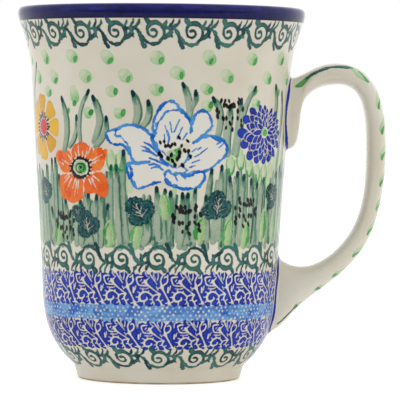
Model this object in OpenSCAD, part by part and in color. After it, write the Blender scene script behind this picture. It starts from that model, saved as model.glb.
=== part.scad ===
// Stoneware mug: a turned vessel with a flared lip and a foot ring, and a strap handle
// joined on with slip, all under a coat of glaze. The foot ring stands on z = 0, the
// vessel's axis is Z, and the handle points along +X.

/* [Vessel] */
// Height of the finished mug
height = 120; // [114:1:126]
// Radius of the lip at its widest
lip_r = 46.6; // [45.5:0.1:47.5]
// Radius at the hip, where the belly turns into the wall
hip_r = 37.9; // [37.4:0.1:38.4]
// Height of the hip
hip_z = 27; // [25:0.5:29]
// Outer radius of the foot ring where it stands
foot_r = 26.2; // [25.6:0.1:26.8]
// Height of the foot ring's outer side
foot_h = 4.5; // [4.2:0.1:4.9]
// Width of the foot ring's standing face
foot_w = 4.5; // [4:0.1:5]
// Depth of the recess inside the foot ring
recess_h = 3; // [2.5:0.1:3.4]
// Thickness of the wall, with its glaze
wall_t = 4; // [3.6:0.1:4.3]
// Thickness of the floor, with its glaze
floor_t = 5.5; // [5:0.1:6.5]

/* [Handle] */
// Height of the handle's crest, under its glaze
crest_z = 102.3; // [100:0.1:104]
// How far the handle's clay reaches from the vessel's axis
reach = 72.8; // [70:0.1:77]
// Thickness of the strap's clay
strap_t = 5.6; // [5:0.1:6.2]
// Width of the strap at its upper joint
upper_w = 18.8; // [17:0.1:20]
// Width of the strap at its lower joint
lower_w = 13.6; // [12:0.1:15]

/* [Joints and glaze] */
// How far the slip spreads over the wall around each joint
slip_w = 1.2; // [0.8:0.1:1.6]
// Thickness of the glaze
glaze_t = 0.3; // [0.2:0.05:0.4]
// Height of the bare clay above the standing face
bare_h = 0.6; // [0.5:0.1:1.2]
// Height of the coloured rim band on the outside, down from the top of the lip
rim_band_h = 4.65; // [4:0.05:5.2]

/* [Hidden] */
$fn = 160;

// Steps along one curve of the vessel's profile
profile_steps = 9;
// Points around the handle's section, and the power that squares that section
ring_points = 32;
ring_power = 2.6;
// Share of a joint's face at which its inner rings lie, so that the face follows the wall
joint_rings = [0.3, 0.65];

// ---- curves ----

function bezier(p, t) =
    pow(1 - t, 3) * p[0] + 3 * pow(1 - t, 2) * t * p[1]
    + 3 * (1 - t) * t * t * p[2] + pow(t, 3) * p[3];
function curve(p, steps, first = 0) = [for (i = [first:steps]) bezier(p, i / steps)];
function unit(v) = v / norm(v);
function slice(list, from, to) = [for (i = [from:to]) list[i]];
function reverse(list) = [for (i = [len(list) - 1:-1:0]) list[i]];

// Unit normal into the clay at point i of a path that keeps the clay on its left
function inward(path, i) =
    let (
        last = len(path) - 1,
        ahead = i < last ? unit(path[i + 1] - path[i]) : [0, 0],
        behind = i > 0 ? unit(path[i] - path[i - 1]) : [0, 0],
        along = unit(ahead + behind)
    ) [-along[1], along[0]];
function inset(path, depth) = [for (i = [0:len(path) - 1]) path[i] + depth * inward(path, i)];

// ---- the vessel's finished profile, as [radius, height] ----

// Outside
foot_top_r = foot_r + 1.4;
shoulder = [hip_r + 4, height - 22];
rim_edge = [lip_r - 0.65, height - rim_band_h];
lip_top = [lip_r - 2, height];
foot_side = [[foot_r + (foot_top_r - foot_r) * bare_h / foot_h, bare_h], [foot_top_r, foot_h]];
belly = [
    [foot_top_r, foot_h], [foot_top_r + 5, foot_h + 4.6],
    [hip_r - 0.7, hip_z - 12.4], [hip_r, hip_z]
];
wall = [[hip_r, hip_z], [hip_r + 0.8, hip_z + 18], shoulder - [1.3, 28], shoulder];
flare = [shoulder, shoulder + [0.5, 7.3], rim_edge - [1.85, 5.15], rim_edge];

// Lip and inside
inner_shoulder = shoulder - [wall_t + 0.1, 1];
inner_hip = [hip_r - wall_t, hip_z];
inner_rim = [lip_r - wall_t - 1.2, height - 6];
floor_z = recess_h + floor_t;
lip_outer = [rim_edge, rim_edge + [1.05, 2.95], [lip_r, height], lip_top];
lip_inner = [lip_top, lip_top - [1.7, 0], inner_rim + [1, 4], inner_rim];
inner_flare = [inner_rim, inner_rim - [1.2, 5], inner_shoulder + [0.3, 7], inner_shoulder];
inner_wall = [inner_shoulder, inner_shoulder - [1.2, 25], inner_hip + [0.8, 20], inner_hip];
inner_belly = [inner_hip, inner_hip - [0.4, 10.5], [inner_hip[0] - 2.9, floor_z], [20, floor_z]];

outside_path = concat(
    foot_side, curve(belly, profile_steps, 1),
    curve(wall, profile_steps, 1), curve(flare, profile_steps, 1)
);
rim_path = concat(curve(lip_outer, profile_steps, 1), curve(lip_inner, profile_steps, 1));
inside_path = concat(
    curve(inner_flare, profile_steps, 1), curve(inner_wall, profile_steps, 1),
    curve(inner_belly, profile_steps, 1), [[0, floor_z]]
);
vessel_path = concat(outside_path, rim_path, inside_path);
outside_end = len(outside_path) - 1;
rim_end = outside_end + len(rim_path);
vessel_end = len(vessel_path) - 1;

// Recess under the foot
standing_r = foot_r - foot_w;
recess_curve = [
    [standing_r - 3, recess_h], [standing_r - 1.4, recess_h],
    [standing_r - 0.6, recess_h - 0.6], [standing_r - 0.3, bare_h]
];
recess_path = concat([[0, recess_h]], curve(recess_curve, 4));

// The clay lies under the glaze
clay_path = inset(vessel_path, glaze_t);
clay_recess = inset(recess_path, glaze_t);

// Radii of the finished wall and of the clay at a height, by joining the profile's points
function radius_at(path, z) = lookup(z, [for (i = [0:outside_end]) [path[i][1], path[i][0]]]);
function on_wall(path, y, z) = [sqrt(pow(radius_at(path, z), 2) - y * y), y, z];

// ---- the handle's outline, as [x, z] ----

crest_x = 56.5;
waist_z = 75;
root_top = [radius_at(clay_path, crest_z - 4.8), crest_z - 4.8];
pad_low = [radius_at(clay_path, waist_z - 0.2), waist_z - 0.2];
root_low = [radius_at(clay_path, 15), 15];
root_inside = [radius_at(clay_path, 39.5), 39.5];
pad_x = 44.4;
elbow = [reach - 8.2, 41.1];
inner_elbow = [reach - 8.7 - strap_t, 42.8];
heel = [47.3, 25.6];

outer_crest = [root_top, [crest_x - 10.6, crest_z - 5.2], [crest_x - 7.4, crest_z], [crest_x, crest_z]];
outer_bow = [[crest_x, crest_z], [crest_x + 11, crest_z + 0.1], [reach + 0.2, 93.8], [reach, waist_z]];
outer_fall = [[reach, waist_z], [reach, 62], [reach - 2.2, 49], elbow];
outer_run = [elbow, elbow - [5.2, 6.9], heel + [5, 4.2], heel];
outer_heel = [heel, heel - [4.5, 3.3], root_low + [5.5, 1.9], root_low];

inner_crest = crest_z - strap_t - 0.7;
inner_bow_x = reach - strap_t;
inner_pad = [pad_low, [pad_x - 1.7, waist_z - 0.3], [pad_x, waist_z + 1.2], [pad_x, waist_z + 4.5]];
inner_neck = [
    [pad_x, waist_z + 4.5], [pad_x - 0.2, waist_z + 17],
    [crest_x - 7, inner_crest], [crest_x + 1, inner_crest]
];
inner_bow = [
    [crest_x + 1, inner_crest], [crest_x + 8.3, inner_crest],
    [inner_bow_x, inner_crest - 6.8], [inner_bow_x, waist_z]
];
inner_fall = [[inner_bow_x, waist_z], [inner_bow_x + 0.1, 60.5], inner_elbow + [7.4, 7.8], inner_elbow];
inner_run = [inner_elbow, inner_elbow - [5, 5.4], root_inside + [6.9, -6.6], root_inside];

// Each stretch pairs a part of an outer curve with a part of an inner one:
// [outer curve, from, to, inner curve, from, to, steps]
stretches = [
    [outer_crest, 0, 0.35, inner_pad, 0, 1, 5],
    [outer_crest, 0.35, 1, inner_neck, 0, 1, 9],
    [outer_bow, 0, 1, inner_bow, 0, 1, 11],
    [outer_fall, 0, 1, inner_fall, 0, 1, 11],
    [outer_run, 0, 1, inner_run, 0, 0.6, 7],
    [outer_heel, 0, 1, inner_run, 0.6, 1, 6]
];
function pair(s, f) = [
    bezier(s[0], s[1] + (s[2] - s[1]) * f),
    bezier(s[3], s[4] + (s[5] - s[4]) * f)
];
stations = concat(
    [for (s = stretches) for (k = [0:s[6] - 1]) pair(s, k / s[6])],
    [pair(stretches[len(stretches) - 1], 1)]
);
last_station = len(stations) - 1;

// The strap's half width narrows in a smooth curve from the upper joint to the lower one
function half_width(k) = bezier([upper_w, upper_w - 3.6, lower_w - 1.2, lower_w] / 2, k / last_station);
function rounded(c) = sign(c) * pow(abs(c), 2 / ring_power);

// One ring of points around the strap, grown outwards by a thickness
function ring(k, grow = 0) =
    let (
        middle = (stations[k][0] + stations[k][1]) / 2,
        half = (stations[k][0] - stations[k][1]) / 2,
        reach_out = half + grow * unit(half),
        w = half_width(k) + grow
    ) [
        for (i = [0:ring_points - 1])
        let (
            a = 360 * i / ring_points,
            at = middle + reach_out * rounded(cos(a))
        ) [at[0], w * rounded(sin(a)), at[1]]
    ];
function mid(values) = (max(values) + min(values)) / 2;

// The same ring scaled about its own middle, spread by a distance and laid on the wall
function joint_ring(k, path, share = 1, spread = 0) =
    let (points = ring(k), middle_z = mid([for (p = points) p[2]])) [
        for (p = points)
        let (
            out = [p[1], p[2] - middle_z],
            at = [0, middle_z] + out * share + unit(out) * spread
        ) on_wall(path, at[0], at[1])
    ];
function joint_middle(k) = on_wall(clay_path, 0, mid([for (p = ring(k)) p[2]]));

// ---- solids from rings of points ----

function flatten(list) = [for (part = list) each part];
function ring_faces(from, to, n) = [
    for (i = [0:n - 1])
    let (j = (i + 1) % n)
    each [[from + i, from + j, to + j], [from + i, to + j, to + i]]
];

// A closed solid between two end points, through rings
module loft(rings, start, end) {
    n = len(rings[0]);
    count = len(rings);
    faces = concat(
        [for (i = [0:n - 1]) [0, 1 + (i + 1) % n, 1 + i]],
        flatten([for (k = [0:count - 2]) ring_faces(1 + k * n, 1 + (k + 1) * n, n)]),
        [for (i = [0:n - 1]) [1 + count * n, 1 + (count - 1) * n + i, 1 + (count - 1) * n + (i + 1) % n]]
    );
    polyhedron(concat([start], flatten(rings), [end]), faces);
}

// A closed loop of rings, such as a sleeve with thickness
module sleeve(rings) {
    n = len(rings[0]);
    count = len(rings);
    faces = flatten([for (k = [0:count - 1]) ring_faces(k * n, ((k + 1) % count) * n, n)]);
    polyhedron(flatten(rings), faces);
}

module skin(path, clay) {
    rotate_extrude() polygon(concat(path, reverse(clay)));
}

// The patch of wall that a joint and its slip cover, as a bar along X
module joint_bar(k) {
    rotate([90, 0, 90]) linear_extrude(reach)
        polygon([for (p = joint_ring(k, clay_path, 1, slip_w)) [p[1], p[2]]]);
}

// A fillet of slip in the corner between the strap and the wall, with its glaze
module joint_slip(k, next) {
    corner = joint_ring(k, clay_path);
    edge = joint_ring(k, vessel_path, 1, slip_w);
    top = ring(next, glaze_t);
    rings = [
        corner,
        joint_ring(k, clay_path, 1, slip_w),
        edge,
        fillet_ring(top, edge, corner, 2 / 3),
        fillet_ring(top, edge, corner, 1 / 3),
        top,
        ring(next)
    ];
    sleeve(next > k ? rings : reverse(rings));
}
// A hollow arc from the strap's side to the wall, drawn towards the corner
function fillet_ring(top, edge, corner, t) = [
    for (i = [0:len(top) - 1])
    let (pull = 0.6 * corner[i] + 0.2 * top[i] + 0.2 * edge[i])
    pow(1 - t, 2) * top[i] + 2 * t * (1 - t) * pull + t * t * edge[i]
];

// ---- sub-parts ----

module body() {
    color("#cdb99c") rotate_extrude() polygon(concat(
        clay_recess,
        [[standing_r, 0], [foot_r - glaze_t, 0]],
        clay_path
    ));
}

module handle() {
    color("#cdb99c") loft(
        concat(
            [for (share = joint_rings) joint_ring(0, clay_path, share)],
            [joint_ring(0, clay_path)],
            [for (k = [1:last_station - 1]) ring(k)],
            [joint_ring(last_station, clay_path)],
            [for (share = reverse(joint_rings)) joint_ring(last_station, clay_path, share)]
        ),
        joint_middle(0),
        joint_middle(last_station)
    );
}

module upper_joint_slip() {
    color("#2c3a96") joint_slip(0, 1);
}

module lower_joint_slip() {
    color("#2c3a96") joint_slip(last_station, last_station - 1);
}

module outside_glaze() {
    color("#e3dbcb") difference() {
        skin(slice(vessel_path, 0, outside_end), slice(clay_path, 0, outside_end));
        joint_bar(0);
        joint_bar(last_station);
    }
}

module inside_glaze() {
    color("#ece5d8") skin(slice(vessel_path, rim_end, vessel_end), slice(clay_path, rim_end, vessel_end));
}

module rim_glaze() {
    color("#262a63") skin(slice(vessel_path, outside_end, rim_end), slice(clay_path, outside_end, rim_end));
}

module base_glaze() {
    color("#e3dbcb") skin(recess_path, clay_recess);
}

module handle_glaze() {
    color("#dfd6c4") sleeve(concat(
        [for (k = [1:last_station - 1]) ring(k, glaze_t)],
        [for (k = [last_station - 1:-1:1]) ring(k)]
    ));
}

body();
handle();
upper_joint_slip();
lower_joint_slip();
outside_glaze();
inside_glaze();
rim_glaze();
base_glaze();
handle_glaze();
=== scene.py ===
import math

import bpy
import numpy as np
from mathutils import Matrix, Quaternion, Vector


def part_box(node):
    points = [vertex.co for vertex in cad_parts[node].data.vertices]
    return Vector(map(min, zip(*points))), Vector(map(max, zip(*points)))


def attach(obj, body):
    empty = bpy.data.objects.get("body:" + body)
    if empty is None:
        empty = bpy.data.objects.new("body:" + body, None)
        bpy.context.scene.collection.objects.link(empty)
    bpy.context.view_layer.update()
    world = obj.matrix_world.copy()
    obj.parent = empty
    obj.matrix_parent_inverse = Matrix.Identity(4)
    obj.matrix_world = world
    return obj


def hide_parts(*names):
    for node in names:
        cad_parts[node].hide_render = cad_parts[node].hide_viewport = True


# A stoneware mug, painted under a clear glaze. Lengths here are millimetres, and meshes are
# scaled to metres as they are made. Angles around the vessel are degrees from its painted
# front (-Y), positive towards the handle (+X).

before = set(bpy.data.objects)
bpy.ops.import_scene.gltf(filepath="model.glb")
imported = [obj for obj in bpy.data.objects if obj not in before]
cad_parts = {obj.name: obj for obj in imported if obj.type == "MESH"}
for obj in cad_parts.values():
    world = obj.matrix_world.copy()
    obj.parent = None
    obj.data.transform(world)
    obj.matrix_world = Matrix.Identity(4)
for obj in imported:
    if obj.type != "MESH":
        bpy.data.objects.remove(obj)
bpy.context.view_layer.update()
MM = 0.001
rng = np.random.default_rng(11)
vary = rng.uniform     # the painting's unevenness comes from here, in the order it is drawn

# ---------------------------------------------------------------- driving sizes

# The vessel, with the same sizes as part.scad
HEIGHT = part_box("rim_glaze")[1].z / MM
LIP_R = 46.6
HIP_R, HIP_Z = 37.9, 27.0               # the hip, where the belly turns into the wall
FOOT_R, FOOT_H, FOOT_W = 26.2, 4.5, 4.5
STANDING_R = FOOT_R - FOOT_W            # inner radius of the standing ring
RECESS_H, WALL_T, FLOOR_T = 3.0, 4.0, 5.5
BARE_H = 0.6                            # how high the bare clay reaches
GLAZE_T = 0.3
RIM_BAND_H = 4.65                       # height of the cobalt band at the rim
FLAT_R, AXIS_R = 20.0, 0.6              # the floor's flat part, and its smallest ring
# The handle: crest, furthest reach, thickness and the widths at its two ends
CREST_X, CREST_Z, REACH, STRAP_T = 56.5, 102.3, 72.8, 5.6
WAIST_Z = 75.0                          # where the strap reaches furthest
UPPER_W, LOWER_W = 18.8, 13.6
SLIP_W = 1.2                            # how far the joining slip spreads over the wall
# How fine the meshes are: points around the vessel and the strap, and the step between rows
COLUMNS, STRAP_AROUND = 840, 160
ROW_STEP = 0.32


# ---------------------------------------------------------------- curves

def bezier(points, t):
    """Points of a cubic curve at t."""
    p = [np.asarray(q, float) for q in points]
    t = np.asarray(t, float)[..., None]
    return (1 - t) ** 3 * p[0] + 3 * (1 - t) ** 2 * t * p[1] + 3 * (1 - t) * t * t * p[2] + t ** 3 * p[3]


def chain(*curves):
    """One polyline through curves that follow each other."""
    t = np.linspace(0, 1, 60)
    parts = [bezier(c, t) if len(c) == 4 else np.asarray(c, float) for c in curves]
    return np.vstack([parts[0]] + [p[1:] for p in parts[1:]])


def polar(r, angle):
    return r * math.cos(math.radians(angle)), r * math.sin(math.radians(angle))


def lengths(path):
    """Distance along the path at each of its points."""
    return np.concatenate([[0], np.cumsum(np.linalg.norm(np.diff(path, axis=0), axis=1))])


def evenly(path, step):
    """The path resampled at even distances."""
    s = lengths(path)
    at = np.linspace(0, s[-1], max(3, int(round(s[-1] / step)) + 1))
    return np.stack([np.interp(at, s, path[:, 0]), np.interp(at, s, path[:, 1])], 1)


def left_normals(path):
    """Unit normals out of the clay, for a path that keeps the clay on its left."""
    along = np.gradient(path, axis=0)
    along /= np.linalg.norm(along, axis=1)[:, None]
    return np.stack([along[:, 1], -along[:, 0]], 1)


def smooth(points, steps=6):
    """A curve through a few given points: rows of [x, y] or [x, y, half width]."""
    p = np.asarray(points, float)
    if len(p) < 3:
        t = np.linspace(0, 1, steps + 1)[:, None]
        return p[0] * (1 - t) + p[-1] * t
    q = np.vstack([2 * p[0] - p[1], p, 2 * p[-1] - p[-2]])
    t = np.linspace(0, 1, steps, endpoint=False)[:, None]
    out = []
    for i in range(1, len(q) - 2):
        a, b, c, d = q[i - 1], q[i], q[i + 1], q[i + 2]
        out.append(0.5 * (2 * b + (c - a) * t + (2 * a - 5 * b + 4 * c - d) * t * t
                          + (3 * b - a - 3 * c + d) * t ** 3))
    return np.vstack(out + [p[-1:]])


def closed(points, steps=5):
    """A closed outline through given points."""
    p = np.asarray(points, float)
    ring = np.vstack([p, p[:3]])
    curve = smooth(ring, steps)
    return curve[steps:steps * (len(p) + 1)]


# ---------------------------------------------------------------- the vessel's profile

# Corners and control points are [radius, height], as in part.scad
SHOULDER = np.array([HIP_R + 4, HEIGHT - 22])
RIM_EDGE = np.array([LIP_R - 0.65, HEIGHT - RIM_BAND_H])
LIP_TOP = np.array([LIP_R - 2, HEIGHT])
FOOT_TOP = np.array([FOOT_R + 1.4, FOOT_H])
INNER_SHOULDER = SHOULDER - [WALL_T + 0.1, 1]
INNER_HIP = np.array([HIP_R - WALL_T, HIP_Z])
INNER_RIM = np.array([LIP_R - WALL_T - 1.2, HEIGHT - 6])
FLOOR_Z = RECESS_H + FLOOR_T

FOOT_FOLD = FOOT_TOP + [0.62, 0.52]
foot_side = [[FOOT_R + 1.4 * BARE_H / FOOT_H, BARE_H], FOOT_TOP - [0.2, 0.6]]
foot_corner = [FOOT_TOP - [0.2, 0.6], FOOT_TOP - [0.07, 0.22], FOOT_TOP + [0.15, 0.13], FOOT_FOLD]
belly = [FOOT_FOLD, FOOT_TOP + [5, 4.6], [HIP_R - 0.7, HIP_Z - 12.4], [HIP_R, HIP_Z]]
wall = [[HIP_R, HIP_Z], [HIP_R + 0.8, HIP_Z + 18], SHOULDER - [1.3, 28], SHOULDER]
flare = [SHOULDER, SHOULDER + [0.5, 7.3], RIM_EDGE - [1.85, 5.15], RIM_EDGE]
lip_outer = [RIM_EDGE, RIM_EDGE + [1.05, 2.95], [LIP_R, HEIGHT], LIP_TOP]
lip_inner = [LIP_TOP, LIP_TOP - [1.7, 0], INNER_RIM + [1, 4], INNER_RIM]
inner_flare = [INNER_RIM, INNER_RIM - [1.2, 5], INNER_SHOULDER + [0.3, 7], INNER_SHOULDER]
inner_wall = [INNER_SHOULDER, INNER_SHOULDER - [1.2, 25], INNER_HIP + [0.8, 20], INNER_HIP]
inner_belly = [INNER_HIP, INNER_HIP - [0.4, 10.5], [INNER_HIP[0] - 2.9, FLOOR_Z], [FLAT_R, FLOOR_Z]]
INSIDE = chain(inner_flare, inner_wall, inner_belly, [[FLAT_R, FLOOR_Z], [AXIS_R, FLOOR_Z]])

OUTSIDE = evenly(chain(foot_side, foot_corner, belly, wall, flare, lip_outer, lip_inner), ROW_STEP)
ROW_S = lengths(OUTSIDE)
ROW_NORMAL = left_normals(OUTSIDE)
TOP_ROW = int(np.argmax(OUTSIDE[:, 1]))
CLAY = OUTSIDE - GLAZE_T * ROW_NORMAL


def s_at(z):
    """Distance up the outside of the vessel at a height."""
    return float(np.interp(z, OUTSIDE[:TOP_ROW, 1], ROW_S[:TOP_ROW]))


def row_at(z):
    """The painted row nearest to a height."""
    return int(np.argmin(np.abs(OUTSIDE[:TOP_ROW, 1] - z)))


def radius_at(z, path=OUTSIDE):
    return np.interp(z, path[:TOP_ROW, 1], path[:TOP_ROW, 0])


# ---------------------------------------------------------------- painting

# Each pigment is a field of distances to its painted edge in mm, negative inside the paint.
# Vector attributes carry them to the material, three pigments in each.
PIGMENTS = ["pale", "sage", "green", "yellow", "orange", "red", "sky", "cobalt", "teal",
            "black", "wash", "navy", "white", "shade", "lime"]
PAINT_LAYERS = len(PIGMENTS) // 3
FAR = 5.0              # the distance where nothing is painted


def segment_distance(x, y, curve):
    """Distance to a stroke's edge, how far along the stroke the nearest point is, and how far
    to its left (as a share of its half width)."""
    best = np.full(x.shape, 1e3)
    along, across = np.zeros(x.shape), np.zeros(x.shape)
    total = len(curve) - 1
    for i in range(total):
        ax, ay, aw = curve[i]
        bx, by, bw = curve[i + 1]
        dx, dy = bx - ax, by - ay
        length = max(math.hypot(dx, dy), 1e-6)
        t = np.clip(((x - ax) * dx + (y - ay) * dy) / length ** 2, 0, 1)
        w = aw + (bw - aw) * t
        d = np.hypot(x - ax - t * dx, y - ay - t * dy) - w
        nearer = d < best
        best = np.where(nearer, d, best)
        along = np.where(nearer, (i + t) / total, along)
        left = (dx * (y - ay) - dy * (x - ax)) / length
        across = np.where(nearer, left / np.maximum(w, 0.1), across)
    return best, along, across


def outline_distance(x, y, outline):
    """Signed distance to a closed outline, negative inside."""
    best = np.full(x.shape, 1e6)
    inside = np.zeros(x.shape, bool)
    for (ax, ay), (bx, by) in zip(outline, np.roll(outline, -1, axis=0)):
        dx, dy = bx - ax, by - ay
        t = np.clip(((x - ax) * dx + (y - ay) * dy) / max(dx * dx + dy * dy, 1e-9), 0, 1)
        best = np.minimum(best, (x - ax - t * dx) ** 2 + (y - ay - t * dy) ** 2)
        crosses = ((ay > y) != (by > y)) & (x < (bx - ax) * (y - ay) / (by - ay + 1e-12) + ax)
        inside ^= crosses
    d = np.sqrt(best)
    return np.where(inside, -d, d)


class Canvas:
    """The painted skin of the vessel, as a grid of rows up it and columns around it."""

    def __init__(self, radius, s, columns):
        self.radius, self.s, self.columns = radius, s, columns
        self.prime((len(s), columns))

    def prime(self, shape):
        """Bare cream all over: no pigment, and a middling strength for what is painted later."""
        self.fields = {p: np.full(shape, FAR, np.float32) for p in PIGMENTS}
        self.tone = np.full(shape, 0.5, np.float32)

    def start(self, z):
        """Where on the skin a brush set at a height begins."""
        return s_at(z)

    def patch(self, angle, s0, low, high):
        """Grid indices near a place, with their local x and y in millimetres."""
        rows = np.nonzero((self.s >= s0 + low[1]) & (self.s <= s0 + high[1]))[0]
        if not len(rows):
            return None
        narrowest = self.radius[rows].min()
        count = self.columns
        first = math.floor((angle + math.degrees(low[0] / narrowest) + 180) / 360 * count)
        last = math.ceil((angle + math.degrees(high[0] / narrowest) + 180) / 360 * count)
        cols = np.arange(first, last + 1)
        turn = np.radians(-180 + 360 * cols / count - angle)
        x = turn[None, :] * self.radius[rows][:, None]
        y = np.broadcast_to((self.s[rows] - s0)[:, None], x.shape)
        return np.ix_(rows, cols % count), x, y


class Brush:
    """Draws at a place on a canvas, in local millimetres that can be turned and scaled."""

    def __init__(self, canvas, angle, z, size=1.0, turn=0.0):
        self.canvas, self.angle, self.s0 = canvas, angle, canvas.start(z)
        c, s = polar(size, turn)
        self.matrix = np.array([[c, -s], [s, c]])
        self.size = size

    def place(self, points):
        p = np.asarray(points, float)
        xy = p[:, :2] @ self.matrix.T
        return np.hstack([xy, p[:, 2:] * self.size]) if p.shape[1] > 2 else xy

    def region(self, points, margin):
        low, high = points[:, :2].min(0) - margin, points[:, :2].max(0) + margin
        return self.canvas.patch(self.angle, self.s0, low, high)

    def lay(self, pigment, index, d, tone=None):
        """Adds a distance field to a pigment's, and sets the tone where it is painted."""
        field = self.canvas.fields[pigment]
        field[index] = np.minimum(field[index], d)
        if tone is not None:
            old = self.canvas.tone[index]
            self.canvas.tone[index] = np.where(d < 0.15, tone, old)

    def stroke(self, pigment, points, tone=None, steps=5, wobble=0.0):
        """A stroke through points of [x, y, half width]; wobble makes its width and path uneven.
        tone is a number, or a function of the places along and across the stroke."""
        curve = smooth(points, steps)
        if wobble:
            shake = np.convolve(rng.normal(size=len(curve) + 2), [0.3, 0.4, 0.3], "valid")
            curve[:, 2] *= np.clip(1 + 1.6 * wobble * shake, 0.45, 1.9)
            curve[1:-1, :2] += 0.35 * wobble * rng.normal(size=(len(curve) - 2, 2))
        curve = self.place(curve)
        patch = self.region(curve, curve[:, 2].max() + 1.2)
        if patch is None:
            return
        index, x, y = patch
        d, along, across = segment_distance(x, y, curve)
        self.lay(pigment, index, d, tone(along, across) if callable(tone) else tone)

    def shape(self, pigment, points, tone=None, steps=4, grow=0.0):
        """A filled closed outline, grown by some mm."""
        outline = self.place(closed(points, steps))
        patch = self.region(outline, 1.2)
        if patch is None:
            return
        index, x, y = patch
        self.lay(pigment, index, outline_distance(x, y, outline) - grow, tone)

    def spot(self, pigment, x, y, rx, ry, lean=0.0, tone=None):
        """An ellipse, leaning by degrees."""
        a = np.radians(np.arange(0, 360, 20))
        c, s = polar(1, lean)
        ex, ey = rx * np.cos(a), ry * np.sin(a)
        self.shape(pigment, np.stack([x + c * ex - s * ey, y + s * ex + c * ey], 1), tone, 1)

    def clear(self, points, pigments, grow=0.0, outline=True, steps=5):
        """Takes pigments away inside an outline or along a stroke, so that cream shows."""
        curve = self.place(closed(points, 4) if outline else smooth(points, steps))
        patch = self.region(curve, 3.0)
        if patch is None:
            return
        index, x, y = patch
        d = outline_distance(x, y, curve) if outline else segment_distance(x, y, curve)[0]
        for pigment in pigments:
            field = self.canvas.fields[pigment]
            field[index] = np.maximum(field[index], grow - d)


def ring_points(n, start=0.0):
    """n even angles around a circle."""
    return [start + 360 * i / n for i in range(n)]


def oval(x, y, rx, ry, step):
    return [[x + rx * math.cos(a), y + ry * math.sin(a)] for a in np.radians(range(0, 360, step))]


# ---- border stamps

BOLD = 1.14            # the scrolls' strokes, against the widths given for them


def scroll_stamp(brush):
    """A curling tendril with a bud, a crescent under it and a sprig beside it."""
    turns = [-110, -60, 0, 45, 90, 140, 185, 225, 258, 290, 322, 355, 385, 412]
    radii = [0.75, 0.95, 1.2, 1.4, 1.5, 1.52, 1.7, 2.35, 3.0, 3.35, 3.45, 3.5, 3.6, 3.5]
    widths = [0.5, 0.42, 0.34, 0.36, 0.36, 0.34, 0.42, 0.5, 0.72, 0.72, 0.52, 0.46, 0.5, 0.4]
    a = -np.radians(turns)
    curl = np.stack([radii * np.cos(a), radii * np.sin(a), BOLD * np.array(widths)], 1)
    brush.stroke("teal", curl, tone=vary(0.35, 0.8), steps=3, wobble=0.1)
    for leaf_part in (
            [[-2.3, 4.7, 0.5], [-1.8, 3.9, 0.72], [-1.2, 3.1, 0.6]],
            [[-5.9, 1.6, 0.2], [-5.0, 0.8, 0.5], [-4.2, -0.3, 0.5], [-3.4, -1.6, 0.46],
             [-2.2, -3.0, 0.5], [-0.5, -3.8, 0.52], [1.1, -3.7, 0.46], [2.8, -3.1, 0.1]],
            [[-4.3, -0.5, 0.4], [-3.9, -2.3, 0.42], [-3.3, -3.7, 0.55], [-2.7, -4.6, 0.58]],
            [[4.3, 4.1, 0.16], [4.0, 3.1, 0.42], [3.5, 2.1, 0.5]],
            [[3.2, 1.3, 0.4], [5.0, 1.5, 0.5], [6.4, 1.2, 0.4]],
            [[6.5, 4.6, 0.2], [6.25, 3.4, 0.32], [5.2, 1.9, 0.34]],
            [[8.4, 4.3, 0.22], [8.1, 3.2, 0.38], [7.0, 2.1, 0.42], [5.6, 1.5, 0.34]],
            [[5.9, 0.6, 0.34], [5.3, -0.5, 0.6], [4.1, -1.4, 0.6], [3.0, -2.1, 0.45]],
            [[5.6, -0.9, 0.42], [6.1, -1.6, 0.2]],
            [[5.0, 1.5, 0.34], [5.5, 0.2, 0.4]]):
        brush.stroke("teal", [[x, y, BOLD * w] for x, y, w in leaf_part], tone=vary(0.1, 0.95),
                     wobble=0.16)


def vine_ground(brush):
    """A block of cobalt with scalloped edges."""
    brush.shape("cobalt", [[-5.7, -4.9], [-4.4, -4.3], [-3.2, -5.2], [-1.6, -4.7], [-0.4, -5.3],
                           [1.2, -4.8], [2.4, -5.2], [3.6, -4.6], [5.7, -4.9], [5.7, 4.3], [4.9, 5.0],
                           [4.2, 4.0], [3.2, 4.4], [2.4, 5.1], [1.4, 4.6], [0.5, 5.2], [-0.6, 4.3],
                           [-1.4, 5.3], [-2.4, 5.0], [-2.6, 4.1], [-3.8, 4.6], [-4.8, 4.2],
                           [-5.7, 4.6]], tone=vary(0.3, 0.75), steps=2)
    for k in range(4):
        brush.spot("cobalt", vary(-4, 4), vary(-3.2, 3.2), vary(0.8, 1.4), vary(0.6, 1.2),
                   vary(0, 90), tone=vary(0.0, 1.1))


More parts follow.
